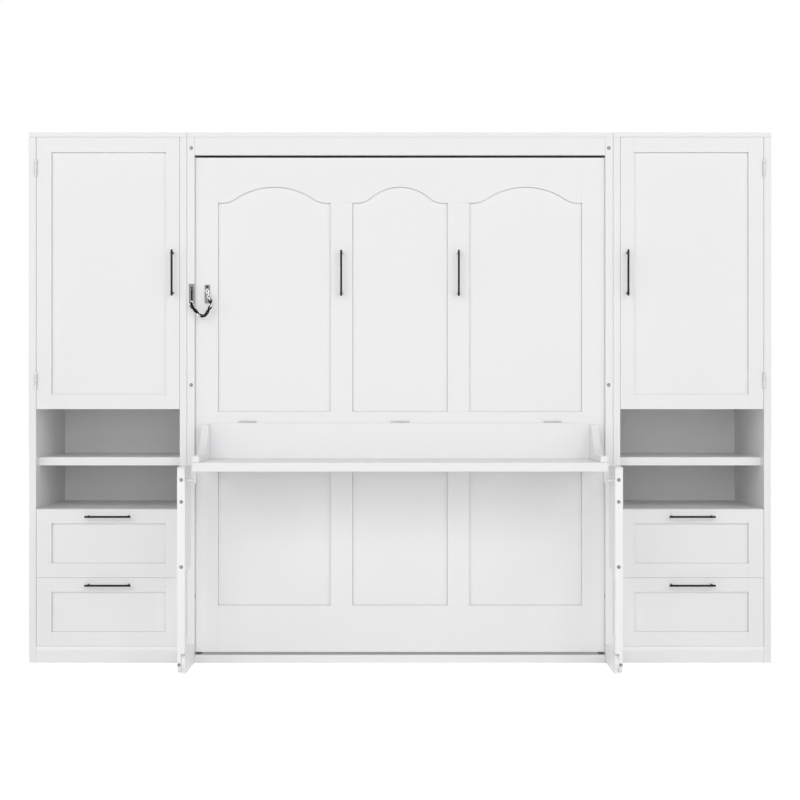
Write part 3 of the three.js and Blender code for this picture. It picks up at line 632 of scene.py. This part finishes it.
def make_doors():
    low, high = map(Vector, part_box("door_left"))
    front = gather("door_front", framed_front(low, high, DOOR_RAIL))
    settle_pair(front, "door_front", "door_{}", "white_board", "door_{}")
    pull = bar_pull("door_handle_left", True)
    settle_pair(pull, "door_pull", "door_{}", "black_bar_pull", "door_handle_{}")

    for level in ("upper", "lower"):
        low_hinge, high_hinge = map(Vector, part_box(f"door_hinge_{level}_left"))
        radius = 4.5
        axis_x = (low_hinge.x + high_hinge.x) / 2
        axis_y = FRONT - 5 * MM
        foot = Vector((axis_x, axis_y, low_hinge.z + 2 * MM))
        head = Vector((axis_x, axis_y, high_hinge.z - 2 * MM))
        leaf_back = FRONT + 18 * MM
        fixed = knuckles(foot, head, radius, ZINC, 5, 0)
        fixed.append(rod(foot - Vector((0, 0, 2 * MM)), head + Vector((0, 0, 2 * MM)), 2.6, ZINC, 0.8, 16))
        fixed.append(block(
            (axis_x - 0.55 * MM, axis_y, foot.z), (axis_x + 0.25 * MM, leaf_back, head.z), ZINC, 0.1,
        ))
        moving = knuckles(foot, head, radius, ZINC, 5, 1)
        moving.append(block(
            (axis_x + 0.45 * MM, axis_y, foot.z), (axis_x + 1.25 * MM, leaf_back, head.z), ZINC, 0.1,
        ))
        settle_pair(
            gather("hinge_fixed", fixed), f"hinge_fixed_leaf_{level}", "cabinet", "hinge_steel",
            f"door_hinge_{level}_" + "{}",
        )
        settle_pair(gather("hinge_moving", moving), f"hinge_moving_leaf_{level}", "door_{}", "hinge_steel")


def runner_rail(x0, x1, y0, y1, z, height, open_way):
    """One rolled channel of a ball-bearing runner, open on one side."""
    rail = block(at(x0, y0, z - height / 2), at(x1, y1, z + height / 2), ZINC, 0.5)
    return sink(rail, lambda middle, normal: normal.x * open_way > 0.99, height * 0.16, abs(x1 - x0) * 0.6)


def make_drawers():
    inner, outer = CELL_INNER, CELL_OUTER
    for level in ("upper", "lower"):
        low, high = map(Vector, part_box(f"drawer_{level}_left"))
        bottom = low.z / MM
        front_back = FRONT + 20 * MM
        parts = framed_front(low, (high[0], front_back, high[2]), DRAWER_RAIL)
        floor, wall = 8, 12
        x0, x1 = -(outer + 0.4 - 13), -(inner - 0.4 + 13)
        y0, y1 = 20, 520
        z0, z1 = bottom + 28, bottom + 28 + 180
        for corners in (
            ((x0, y0, z0), (x0 + wall, y1, z1)),
            ((x1 - wall, y0, z0), (x1, y1, z1)),
            ((x0 + wall, y0, z0), (x1 - wall, y0 + wall, z1)),
            ((x0 + wall, y1 - wall, z0), (x1 - wall, y1, z1)),
        ):
            parts.append(block(at(*corners[0]), at(*corners[1]), MELAMINE_PAINTED_LIGHTER, 0.6))
        parts.append(block(at(x0 + wall, y0 + wall, z0), at(x1 - wall, y1 - wall, z0 + floor), MELAMINE_PAINTED_LIGHTER, 0.3))
        settle_pair(
            gather("drawer_made", parts), f"drawer_{level}_box", f"drawer_{level}_" + "{}", "white_board",
            f"drawer_{level}_" + "{}",
        )
        settle_pair(
            bar_pull(f"drawer_handle_{level}_left", False), f"drawer_pull_{level}",
            f"drawer_{level}_" + "{}", "black_bar_pull", f"drawer_handle_{level}_" + "{}",
        )
        z = bottom + 28 + 70
        still, moving = [], []
        for wall_x, way in ((-(outer + 0.4), 1), (-(inner - 0.4), -1)):
            still.append(runner_rail(wall_x, wall_x + way * 6.4, 24, 524, z, 45, way))
            moving.append(runner_rail(wall_x + way * 12.9, wall_x + way * 6.8, 26, 518, z, 33, -way))
        settle_pair(gather("runner_still", still), f"runner_outer_{level}", "cabinet", "hinge_steel")
        slide = gather("runner_moving", moving)
        settle_pair(slide, f"runner_inner_{level}", f"drawer_{level}_" + "{}", "hinge_steel")


# ---------------------------------------------------------------- bed

FACE_FRONT, FACE_BACK = 20, 45
FACE_HALF = 821
FACE_FOOT, FACE_TOP = 41, 2024
STILE_INNER = FACE_HALF - 91
MULLION = (191, 279)
RELIEF = 12
BOTTOM_RAIL_TOP = FACE_FOOT + 187
MIDDLE_RAIL = (822, 1006)
SPRING = FACE_TOP - 181


def arch_rise(x, x0, x1):
    """How far a field's top stands above its spring line: level shoulders, then a crowned arch that
    starts with a small reversed curve."""
    rise, fillet, shoulder = 64, 80, 20
    half = (x1 - x0) / 2 - shoulder
    across = abs(x - (x0 + x1) / 2)
    if across >= half:
        return 0
    reach = (half * half + rise * rise) / (2 * rise)
    crown = reach - fillet
    if across < half * (1 - fillet / reach):
        return rise - crown + math.sqrt(crown * crown - across * across)
    return fillet - math.sqrt(fillet * fillet - (half - across) ** 2)


def arched_top_rail(fields):
    """The face's top rail: a strip whose lower edge is lifted into three arches, drawn out to its
    thickness."""
    stations = []
    for x0, x1 in fields:
        steps = 56
        stations += [x0] + [x0 + 20 + (x1 - x0 - 40) * i / steps for i in range(steps + 1)] + [x1]
    columns = len(stations)
    clear_selection()
    bpy.ops.mesh.primitive_grid_add(x_subdivisions=columns - 1, y_subdivisions=1, size=2)
    rail = bpy.context.object
    order = sorted({round(v.co.x, 5) for v in rail.data.vertices})
    for corner in rail.data.vertices:
        x = stations[order.index(round(corner.co.x, 5))]
        field = next((f for f in fields if f[0] <= x <= f[1]), None)
        foot = SPRING + (arch_rise(x, *field) if field else 0)
        corner.co = at(x, FACE_FRONT, FACE_TOP if corner.co.y > 0 else foot)
    extrude_all(rail, (0, (RELIEF + PANEL_STEP) * MM, 0))
    return ease(coat(rail, LACQUER), 0.9)


def arched_panel(x0, x1):
    """The raised face of an upper panel, a little clear of the frame all round."""
    steps = 60
    stations = [x0 + PANEL_GAP, x0 + 20] + [x0 + 20 + (x1 - x0 - 40) * i / steps for i in range(1, steps)]
    stations += [x1 - 20, x1 - PANEL_GAP]
    clear_selection()
    bpy.ops.mesh.primitive_grid_add(x_subdivisions=len(stations) - 1, y_subdivisions=1, size=2)
    panel = bpy.context.object
    order = sorted({round(v.co.x, 5) for v in panel.data.vertices})
    for corner in panel.data.vertices:
        x = stations[order.index(round(corner.co.x, 5))]
        head = SPRING + arch_rise(x, x0, x1) - PANEL_GAP
        z = head if corner.co.y > 0 else MIDDLE_RAIL[1] + PANEL_GAP
        corner.co = at(x, FACE_FRONT + RELIEF, z)
    extrude_all(panel, (0, (PANEL_STEP + 1) * MM, 0))
    return ease(coat(panel, LACQUER), 0.25)


def make_bed_face():
    edge, inner, outer = STILE_INNER, MULLION[0], MULLION[1]
    fields = [(-edge, -outer), (-inner, inner), (outer, edge)]
    back = FACE_FRONT + RELIEF + PANEL_STEP

    def member(x0, x1, z0, z1):
        return block(at(x0, FACE_FRONT, z0), at(x1, back, z1), LACQUER, 0.6)

    parts = [
        member(-edge, edge, FACE_FOOT, BOTTOM_RAIL_TOP),
        member(-edge, edge, *MIDDLE_RAIL),
        arched_top_rail(fields),
    ]
    for side in (-1, 1):
        parts.append(member(side * inner, side * outer, BOTTOM_RAIL_TOP, MIDDLE_RAIL[0]))
        parts.append(member(side * inner, side * outer, MIDDLE_RAIL[1], SPRING))
    for x0, x1 in fields:
        low = at(x0 + PANEL_GAP, FACE_FRONT + RELIEF, BOTTOM_RAIL_TOP + PANEL_GAP)
        parts.append(block(low, at(x1 - PANEL_GAP, back + 1, MIDDLE_RAIL[0] - PANEL_GAP), LACQUER, 0.25))
        parts.append(arched_panel(x0, x1))

    def notch(side):
        return block(at(side * 813.2, 25.6, PIVOT_Z - 32), at(side * 822, 46, PIVOT_Z + 32), LACQUER)

    for side in (-1, 1):
        stile = block(at(side * edge, FACE_FRONT, FACE_FOOT), at(side * FACE_HALF, back, FACE_TOP), LACQUER)
        parts.append(ease(carve(stile, notch(side)), 0.4))
    sheet = block(at(-FACE_HALF, back, FACE_FOOT), at(FACE_HALF, FACE_BACK, FACE_TOP), LACQUER)
    parts.append(ease(carve(sheet, notch(-1), notch(1)), 0.5))
    settle(gather("bed_face_front", parts), "bed", "white_board", "bed_face")
    settle_pair(bar_pull("bed_handle_left", True), "bed_pull", "bed", "black_bar_pull", "bed_handle_{}")


def make_bed_frame():
    """The welded steel frame behind the face, with the ledge that the slats lie on, the arms and
    plates that the bed turns on, and the bosses of the support legs."""
    y0, y1 = FACE_BACK + 0.4, FACE_BACK + 60.4
    half, bar = 710, 4
    foot, head = FACE_FOOT + 6, FACE_TOP - 6
    parts = [
        block(at(-half, y0, foot), at(half, y1, foot + bar), FRAME_BLACK, 0.8),
        block(at(-half, y0, head - bar), at(half, y1, head), FRAME_BLACK, 0.8),
    ]
    for side in (-1, 1):
        x = side * half
        parts.append(block(at(x - side * bar, y0, foot), at(x, y1, head), FRAME_BLACK, 0.8))
        # the ledge under the slats' ends, then the arm and the plate of the bed's pivot
        ledge = at(x - side * 30, y0 + 10, foot), at(x - side * 3, y0 + 13, head)
        arm = at(x - side, y0 + 12, PIVOT_Z - 20), at(side * 815, y1 - 5, PIVOT_Z + 20)
        plate = at(side * 814, 26, PIVOT_Z - 30), at(side * 819, y1, PIVOT_Z + 30)
        tail = at(x - side, y0 + 5, STRUT_FOOT - 25), at(x + side * 6, STRUT_Y + 20, STRUT_FOOT + 25)
        parts.append(block(*ledge, FRAME_BLACK, 0.6))
        parts.append(block(*arm, FRAME_BLACK, 1.5, 2))
        parts.append(block(*plate, FRAME_BLACK, 1))
        parts.append(rod(at(side * 815, PIVOT_Y, PIVOT_Z), at(side * 844, PIVOT_Y, PIVOT_Z), 6, ZINC, 0.8))
        parts.append(rod(at(side * 819, PIVOT_Y, PIVOT_Z), at(side * 820.2, PIVOT_Y, PIVOT_Z), 9, ZINC, 0.4))
        parts.append(block(*tail, FRAME_BLACK, 1))
        boss = at(side * 680, y0 + 30, head - 1), at(side * 680, y0 + 30, 2025.1)
        parts.append(rod(*boss, 14, FRAME_BLACK, 0.6))
        for z in (foot + bar, head - bar):
            # the weld bead across each corner of the ring
            bead = at(x - side * bar, y0 + 4, z), at(x - side * bar, y1 - 4, z)
            parts.append(rod(*bead, 2.4, FRAME_BLACK, 0.5, 10))
    settle(gather("bed_frame_steel", parts), "bed", "black_steel", "bed_frame")


def make_slats():
    count, width = 14, 60
    y0 = FACE_BACK + 0.4 + 10 + 3 + 0.4
    first = FACE_FOOT + 6 + 4 + 20 + width / 2
    last = FACE_TOP - 6 - 4 - 20 - width / 2
    slat = block(at(-705, y0, first - width / 2), at(705, y0 + 15, first + width / 2), PINE, 2.0, 2)
    parts = [slat]
    for i in range(1, count):
        parts.append(copy_of(slat, "slat", (0, 0, (last - first) * i / (count - 1) * MM)))
    for x in (-330, 330):
        batten = block(at(x - 20, y0 - 13, first - 29), at(x + 20, y0 + 0.2, last + 29), PINE, 1.2)
        parts.append(batten)
    settle(gather("pine_slats", parts), "bed", "slat_wood", "slat_deck")


def make_support_legs():
    """A flat steel leg that turns on a bolt at the foot end of the bed, with a nylon pad where it
    meets the floor."""
    low, high = map(Vector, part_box("support_leg_left"))
    bar = block(low, high, FRAME_BLACK, 1.0)
    pad_low = (high.x - 12 * MM, low.y + 1 * MM, low.z - 0.35 * MM)
    pad_high = (high.x, high.y - 1 * MM, high.z + 0.35 * MM)
    pad = block(pad_low, pad_high, NYLON, 0.6)
    pivot = Vector((-680 * MM, (low.y + high.y) / 2, high.z))
    bolt = rod(pivot - Vector((0, 0, 1 * MM)), pivot + Vector((0, 0, 2.2 * MM)), 7, ZINC, 0.6, 6)
    leg = gather("support_leg", [bar, pad, bolt])
    settle_pair(leg, "support_leg_bar", "support_leg_{}", "black_steel", "support_leg_{}")


def make_struts():
    x, y = STRUT_X, STRUT_Y
    tube = rod(at(x, y, STRUT_TOP - 340), at(x, y, STRUT_TOP - 9), 11, ENAMEL, 0)
    carve(tube, rod(at(x, y, STRUT_TOP - 342), at(x, y, STRUT_TOP - 24), 6.5, ENAMEL, 0))
    ease(tube, 0.9, 2)
    take(tube)
    bpy.ops.object.shade_smooth_by_angle(angle=math.radians(35))
    stud_end = -844
    parts = [
        tube,
        rod(at(x - 10, y, STRUT_TOP), at(x + 10, y, STRUT_TOP), 11, FRAME_BLACK, 1.2),
        rod(at(x, y, STRUT_TOP), at(stud_end, y, STRUT_TOP), 5, ZINC, 0.6),
        rod(at(x + 10, y, STRUT_TOP), at(x + 12.5, y, STRUT_TOP), 7, ZINC, 0.6, 6),
    ]
    barrel = gather("strut_barrel", parts)
    settle_pair(barrel, "strut_tube", "strut_barrel_{}", "strut_tube", "strut_barrel_{}")
    rod_parts = [
        rod(at(x, y, STRUT_FOOT + 4), at(x, y, STRUT_TOP - 300), 5, CHROME, 0.6, 32),
        rod(at(x - 10, y, STRUT_FOOT), at(x + 10, y, STRUT_FOOT), 11, FRAME_BLACK, 1.2),
        rod(at(x, y, STRUT_FOOT + 9), at(x, y, STRUT_FOOT + 26), 7.5, FRAME_BLACK, 1.0),
        rod(at(x, y, STRUT_FOOT), at(-716.8, y, STRUT_FOOT), 5, ZINC, 0.4),
        rod(at(x - 10, y, STRUT_FOOT), at(x - 12.5, y, STRUT_FOOT), 7, ZINC, 0.6, 6),
    ]
    settle_pair(gather("strut_rod", rod_parts), "strut_piston", "strut_rod_{}", "strut_rod", "strut_rod_{}")


# ---------------------------------------------------------------- desk

DESK_PIN = (-288, 744)
FOOT_PIN = (-269.5, 44)
HINGE_AXIS = (15.5, 965)


def make_desk():
    half, top, underside = 787, 816, 781
    board = block(at(-half, -374, underside), at(half, 19, top), LACQUER, 2.0, 2)
    parts = [board]
    y, z = DESK_PIN
    for side in (-1, 1):
        # a white steel ear under each end takes the pin of the desk leg
        outline = [(y - 12, underside + 0.5)] + arc((y, z), 12, 180, 360, 16) + [(y + 12, underside + 0.5)]
        ear = sawn_board(outline, side * (half - 5), side * half, LACQUER)
        carve(ear, rod(at(side * (half - 7), y, z), at(side * (half + 2), y, z), 6.3, LACQUER))
        parts.append(ease(ear, 0.8))
    settle(gather("desk_board", parts), "desk", "white_board", "desk_top")

    foot, riser_top, back = top + 0.4, 960, 19.5
    curve = [(-62, riser_top - 5)]
    for i in range(1, 17):
        t = i / 16
        y = (1 - t) ** 2 * 62 + 2 * t * (1 - t) * 112 + t * t * 232
        z = (1 - t) ** 2 * (riser_top - 5) + 2 * t * (1 - t) * (top + 36) + t * t * (top + 24)
        curve.append((-y, z))
    outline = [(back, foot), (back, riser_top - 5)] + curve + [(-374, top + 24), (-374, foot)]
    parts = [block(at(-half + 28, back - 18, foot), at(half - 28, back, riser_top), LACQUER, 1.0)]
    for side in (-1, 1):
        parts.append(sawn_board(outline, side * (half - 28), side * half, LACQUER, 1.2))
    settle(gather("desk_gallery_boards", parts), "desk", "white_board", "desk_gallery")


def make_desk_hinges():
    """Three steel hinges join the desk's back board to the bed's middle rail."""
    y, z = HINGE_AXIS
    still, moving = [], []
    for x in (-612, 0, 612):
        start, end = at(x - 36, y, z), at(x + 36, y, z)
        still += knuckles(start, end, 2.6, ZINC, 5, 0)
        moving += knuckles(start, end, 2.6, ZINC, 5, 1)
        still.append(rod(at(x - 36.8, y, z), at(x + 36.8, y, z), 1.4, ZINC, 0.3, 14))
        still.append(block(at(x - 36, 19.9, z - 38), at(x + 36, 21, z - 1), ZINC, 0.2))
        still.append(block(at(x - 36, y + 1, z + 0.4), at(x + 36, 20.6, z + 1.4), ZINC, 0.2))
        moving.append(block(at(x - 36, 18.3, z - 38), at(x + 36, 19.5, z - 1), ZINC, 0.2))
    settle(gather("desk_hinge_bed_leaves", still), "bed", "hinge_steel")
    settle(gather("desk_hinge_desk_leaves", moving), "desk", "hinge_steel")


def make_desk_legs():
    """Each leg sweeps in from a deep top to a slim neck and widens again to its foot. Down there it
    and the fixed foot on the cabinet are halved, round the pin that the leg turns on."""
    front, rear, neck, top = 308, 118, 274, 796
    toe, toe_z = -FOOT_PIN[0], FOOT_PIN[1]
    inside, thick = 822, 30
    outline = [(front, toe_z)]
    outline += arc((front - 12, top - 12), 12, 0, 90, 6)
    outline += arc((rear + 12, top - 12), 12, 90, 180, 6)
    outline += swept((rear, 400), (neck - 30, 400), (neck, 330), (neck, 300), 20)
    outline += [(toe - 38.5, toe_z + 38.5), (toe - 38.5, toe_z)]
    outline += arc((toe, toe_z), 38.5, 180, 360, 24)[1:-1]
    outline = [(-forward, z) for forward, z in outline]
    board = sawn_board(outline, -inside, -inside - thick, MELAMINE_PAINTED_LIGHTER)
    lap = block(at(-inside + 1, -318, -10), at(-inside - 15.5, -108, 81), LACQUER)
    carve(board, lap)
    ease(board, 1.2)
    parts = [
        board,
        rod(at(-783, *DESK_PIN), at(-848, *DESK_PIN), 6, DARK_NICKEL, 0.8),
        rod(at(-787.4, *DESK_PIN), at(-822.5, *DESK_PIN), 8, WHITE_NYLON, 0.8, 36),
        rod(at(-824, *FOOT_PIN), at(-838.5, *FOOT_PIN), 6, ZINC, 0.6),
    ]
    for z in (747, 663, 414):
        parts += bolt_head(at(-836, -308, z))
    parts += bolt_head(at(-844, -308, 40), 3.8)
    settle_pair(gather("desk_leg", parts), "desk_leg_board", "desk_leg_{}", "white_board", "desk_leg_{}")

    nose = arc((toe, toe_z), 34, -60, 90, 16)
    outline = [(0.4, 0), (toe + 17, 0)] + nose + [(0.4, 78)]
    foot = sawn_board([(-f, z) for f, z in outline], -inside, -inside - thick, MELAMINE_PAINTED_LIGHTER)
    carve(
        foot,
        block(at(-836.5, -320, -10), at(-854, -(toe - 39.5), 90), LACQUER),
        rod(at(-821, *FOOT_PIN), at(-839, *FOOT_PIN), 6.3, LACQUER),
    )
    washer = rod(at(-836.5, *FOOT_PIN), at(-837.3, *FOOT_PIN), 33, WHITE_NYLON, 0, 48)
    washer = carve(washer, rod(at(-835, *FOOT_PIN), at(-839, *FOOT_PIN), 6.3, WHITE_NYLON))
    parts = [ease(foot, 1.0), washer]
    settle_pair(gather("desk_foot", parts), "desk_foot_board", "cabinet", "white_board", "desk_foot_{}")


# ---------------------------------------------------------------- safety chain


def make_chain():
    """A slotted track with a dark slide on the cabinet side, a keeper on the bed's stile and a hanging
    chain of welded links between them. The links are black nickel, but the last ones and one here and there
    are chromed: painted highlights for the glints on the one dark chain."""
    low, high = map(Vector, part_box("chain_track"))
    x = (low.x + high.x) / 2
    track = block(low, high, SATIN_NICKEL)
    slot_low = (x - 3 * MM, low.y - 0.01, low.z + 12 * MM)
    slot_high = (x + 3 * MM, high.y + 0.01, high.z - 23 * MM)
    slot = block(slot_low, slot_high, SATIN_NICKEL)
    parts = [ease(carve(track, slot), 0.7)]
    slide_low = (x - 4 * MM, low.y + 1.2 * MM, low.z + 8 * MM)
    parts.append(block(slide_low, (x + 4 * MM, high.y, high.z - 20 * MM), DARK_NICKEL))
    for height, finish in ((high.z - 16 * MM, DARK_NICKEL), (low.z + 6 * MM, CHROME)):
        parts.append(rod((x, low.y - 1.6 * MM, height), (x, high.y - 1 * MM, height), 4.2, finish, 0.6, 20))
    settle(gather("chain_track_plate", parts), "cabinet", "chain_steel", "chain_track")

    keeper_x = -773
    keeper = block(at(keeper_x - 10, 16.6, 1440), at(keeper_x + 10, 19.6, 1514), SATIN_NICKEL, 0.8)
    # the hanging stretch, as distances across, forward and up from the track's lower end
    hanging = (
        (0, 0, 2), (3, 3, -14), (14, 6, -27), (28, 8, -41),
        (44, 8, -51), (58, 6, -45), (68, 2, -27), (77, -6, -4),
    )
    route = [at(-832.5 + across, -13.4 - forward, 1438 + up) for across, forward, up in hanging]
    route += [at(-765, 6.6, 1464), at(keeper_x, 11.6, 1492)]
    line = smooth_line(route, 400)
    pitch = 10.6 * MM
    length = sum((b - a).length for a, b in zip(line, line[1:]))
    count = int(length / pitch)
    links = []
    for i in range(count + 1):
        middle, along = point_along(line, (i + 0.5) * length / (count + 1))
        # The chromed links are painted highlights, the glints of the dark chain.
        bright = i % 7 == 5 or i > count - 4
        turned = 45 if i % 2 else -45
        links.append(chain_link(middle, along, turned, CHROME if bright else DARK_NICKEL))
    screw = rod(at(keeper_x, 15.0, 1506), at(keeper_x, 18, 1506), 4.2, DARK_NICKEL, 0.6, 20)
    chain = gather("safety_chain_links", [keeper, screw, *links])
    settle(chain, "bed", "chain_steel", "safety_chain")


def smooth_line(points, steps):
    """Many points along one smooth curve through the given ones."""
    ends = [2 * points[0] - points[1], *points, 2 * points[-1] - points[-2]]
    line = []
    spans = len(points) - 1
    for i in range(steps + 1):
        place = min(i / steps * spans, spans - 1e-6)
        k, t = int(place), place - int(place)
        p0, p1, p2, p3 = ends[k:k + 4]
        square = 2 * p0 - 5 * p1 + 4 * p2 - p3
        cube = 3 * p1 - p0 - 3 * p2 + p3
        line.append(0.5 * (2 * p1 + (p2 - p0) * t + square * t * t + cube * t ** 3))
    return line


def point_along(line, distance):
    """The point so far along a line of points, and the direction there."""
    for a, b in zip(line, line[1:]):
        step = (b - a).length
        if distance <= step:
            return a + (b - a) * (distance / step), (b - a).normalized()
        distance -= step
    return line[-1], (line[-1] - line[-2]).normalized()


def chain_link(middle, along, turned, finish):
    """A link bent from round wire and welded: a ring drawn out to an oval, and turned about the
    chain's line by so many degrees."""
    clear_selection()
    bpy.ops.mesh.primitive_torus_add(
        major_segments=20, minor_segments=8, major_radius=5.2 * MM, minor_radius=2.5 * MM,
    )
    link = bpy.context.object
    for corner in link.data.vertices:
        corner.co.x += math.copysign(2.6 * MM, corner.co.x) * min(1, abs(corner.co.x) / (0.8 * MM))
    link.rotation_mode = "QUATERNION"
    link.rotation_quaternion = along.to_track_quat("X", "Z") @ Quaternion((1, 0, 0), math.radians(turned))
    link.location = middle
    bpy.ops.object.transform_apply(location=True, rotation=True, scale=True)
    coat(link, finish)
    bpy.ops.object.shade_smooth()
    return link


make_middle_cabinet()
make_pivot_fittings()
make_towers()
make_doors()
make_drawers()
make_bed_face()
make_bed_frame()
make_slats()
make_support_legs()
make_struts()
make_desk()
make_desk_hinges()
make_desk_legs()
make_chain()

# ---------------------------------------------------------------- floor, light and camera


def join(tree, operation, first, second):
    """One number worked out from two."""
    node = add(tree, "ShaderNodeMath", {0: first, 1: second}, operation=operation)
    return node.outputs["Value"]


def make_floor():
    """A pale floor that takes the object's shadow and meets the white surroundings without a line. Under and
    behind the cabinet its glow drops to 0.4: painted shade where the cabinet stands.
    """
    clear_selection()
    bpy.ops.mesh.primitive_plane_add(size=60, location=(0, 0, 0))
    floor = bpy.context.object
    floor.name = "studio_floor"
    material, tree, shader, place = start_material("pale_studio_floor", {"Roughness": 0.9})
    shader.inputs["Base Color"].default_value = linear("#f4f4f4")
    path = add(tree, "ShaderNodeLightPath", {})
    seen = join(tree, "MAXIMUM", path.outputs["Is Camera Ray"], path.outputs["Is Glossy Ray"])
    reach = add(tree, "ShaderNodeVectorMath", {0: place}, operation="LENGTH")
    near = add(tree, "ShaderNodeMapRange", {
        "Value": reach.outputs["Value"], "From Min": 1.2, "From Max": 4.0, "To Min": 0.7, "To Max": 1.0,
    })
    part = add(tree, "ShaderNodeSeparateXYZ", {0: place})
    before = join(tree, "LESS_THAN", part.outputs["Y"], FRONT + 0.02)
    across = add(tree, "ShaderNodeMath", {0: part.outputs["X"]}, operation="ABSOLUTE")
    beside = join(tree, "GREATER_THAN", across.outputs["Value"], 1.46)
    bare = join(tree, "MAXIMUM", before, beside)
    # Under and behind the cabinet the floor's glow drops to 0.4: painted shade beneath the cabinet.
    painted_footprint_shade = add(tree, "ShaderNodeMapRange", {"Value": bare, "To Min": 0.4, "To Max": 1.0})
    clear = join(tree, "MULTIPLY", near.outputs["Result"], painted_footprint_shade.outputs["Result"])
    lift = join(tree, "MULTIPLY", seen, clear)
    glow = add(tree, "ShaderNodeEmission", {"Color": (1, 1, 1, 1), "Strength": lift})
    both = add(tree, "ShaderNodeAddShader", {0: shader.outputs["BSDF"], 1: glow.outputs["Emission"]})
    output = next(n for n in tree.nodes if n.type == "OUTPUT_MATERIAL")
    tree.links.new(both.outputs["Shader"], output.inputs["Surface"])
    floor.data.materials.append(material)


def make_surroundings(ambient):
    world = bpy.data.worlds.new("white_studio")
    bpy.context.scene.world = world
    world.use_nodes = True
    tree = world.node_tree
    tree.nodes.clear()
    path = add(tree, "ShaderNodeLightPath", {})
    seen = join(tree, "MAXIMUM", path.outputs["Is Camera Ray"], path.outputs["Is Glossy Ray"])
    through = join(tree, "MAXIMUM", seen, path.outputs["Is Transmission Ray"])
    strength = add(tree, "ShaderNodeMapRange", {"Value": through, "To Min": ambient, "To Max": 1.0})
    sky = add(tree, "ShaderNodeBackground", {"Color": (1, 1, 1, 1), "Strength": strength.outputs["Result"]})
    add(tree, "ShaderNodeOutputWorld", {"Surface": sky.outputs["Background"]})


def softbox(name, place, target, size, power):
    lamp = bpy.data.lights.new(name, "AREA")
    lamp.shape = "RECTANGLE"
    lamp.size, lamp.size_y = size
    lamp.energy = power
    holder = bpy.data.objects.new(name, lamp)
    bpy.context.scene.collection.objects.link(holder)
    holder.location = place
    holder.rotation_euler = (Vector(target) - Vector(place)).to_track_quat("-Z", "Y").to_euler()


def make_camera():
    camera = bpy.data.cameras.new("camera")
    camera.lens, camera.sensor_width = 77.1, 36
    camera.shift_y = -2 / 800
    holder = bpy.data.objects.new("camera", camera)
    bpy.context.scene.collection.objects.link(holder)
    holder.location = (0, FRONT - 6.853, 1.060)
    holder.rotation_euler = (math.pi / 2, 0, 0)
    bpy.context.scene.camera = holder


make_floor()
make_surroundings(0.42)
softbox("front_softbox", (0, -7.4, 1.5), (0, 0, 0.9), (3.0, 2.0), 58)
for left_right in (-1, 1):
    softbox("high_side_softbox", (3.4 * left_right, -6.5, 4.0), (0.5 * left_right, 0, 1.0), (3.0, 3.0), 88)
    softbox("wide_side_softbox", (6.0 * left_right, -4.5, 1.6), (0.5 * left_right, 0, 1.0), (2.5, 3.0), 34)
make_camera()
bpy.context.scene.view_settings.view_transform = "Standard"
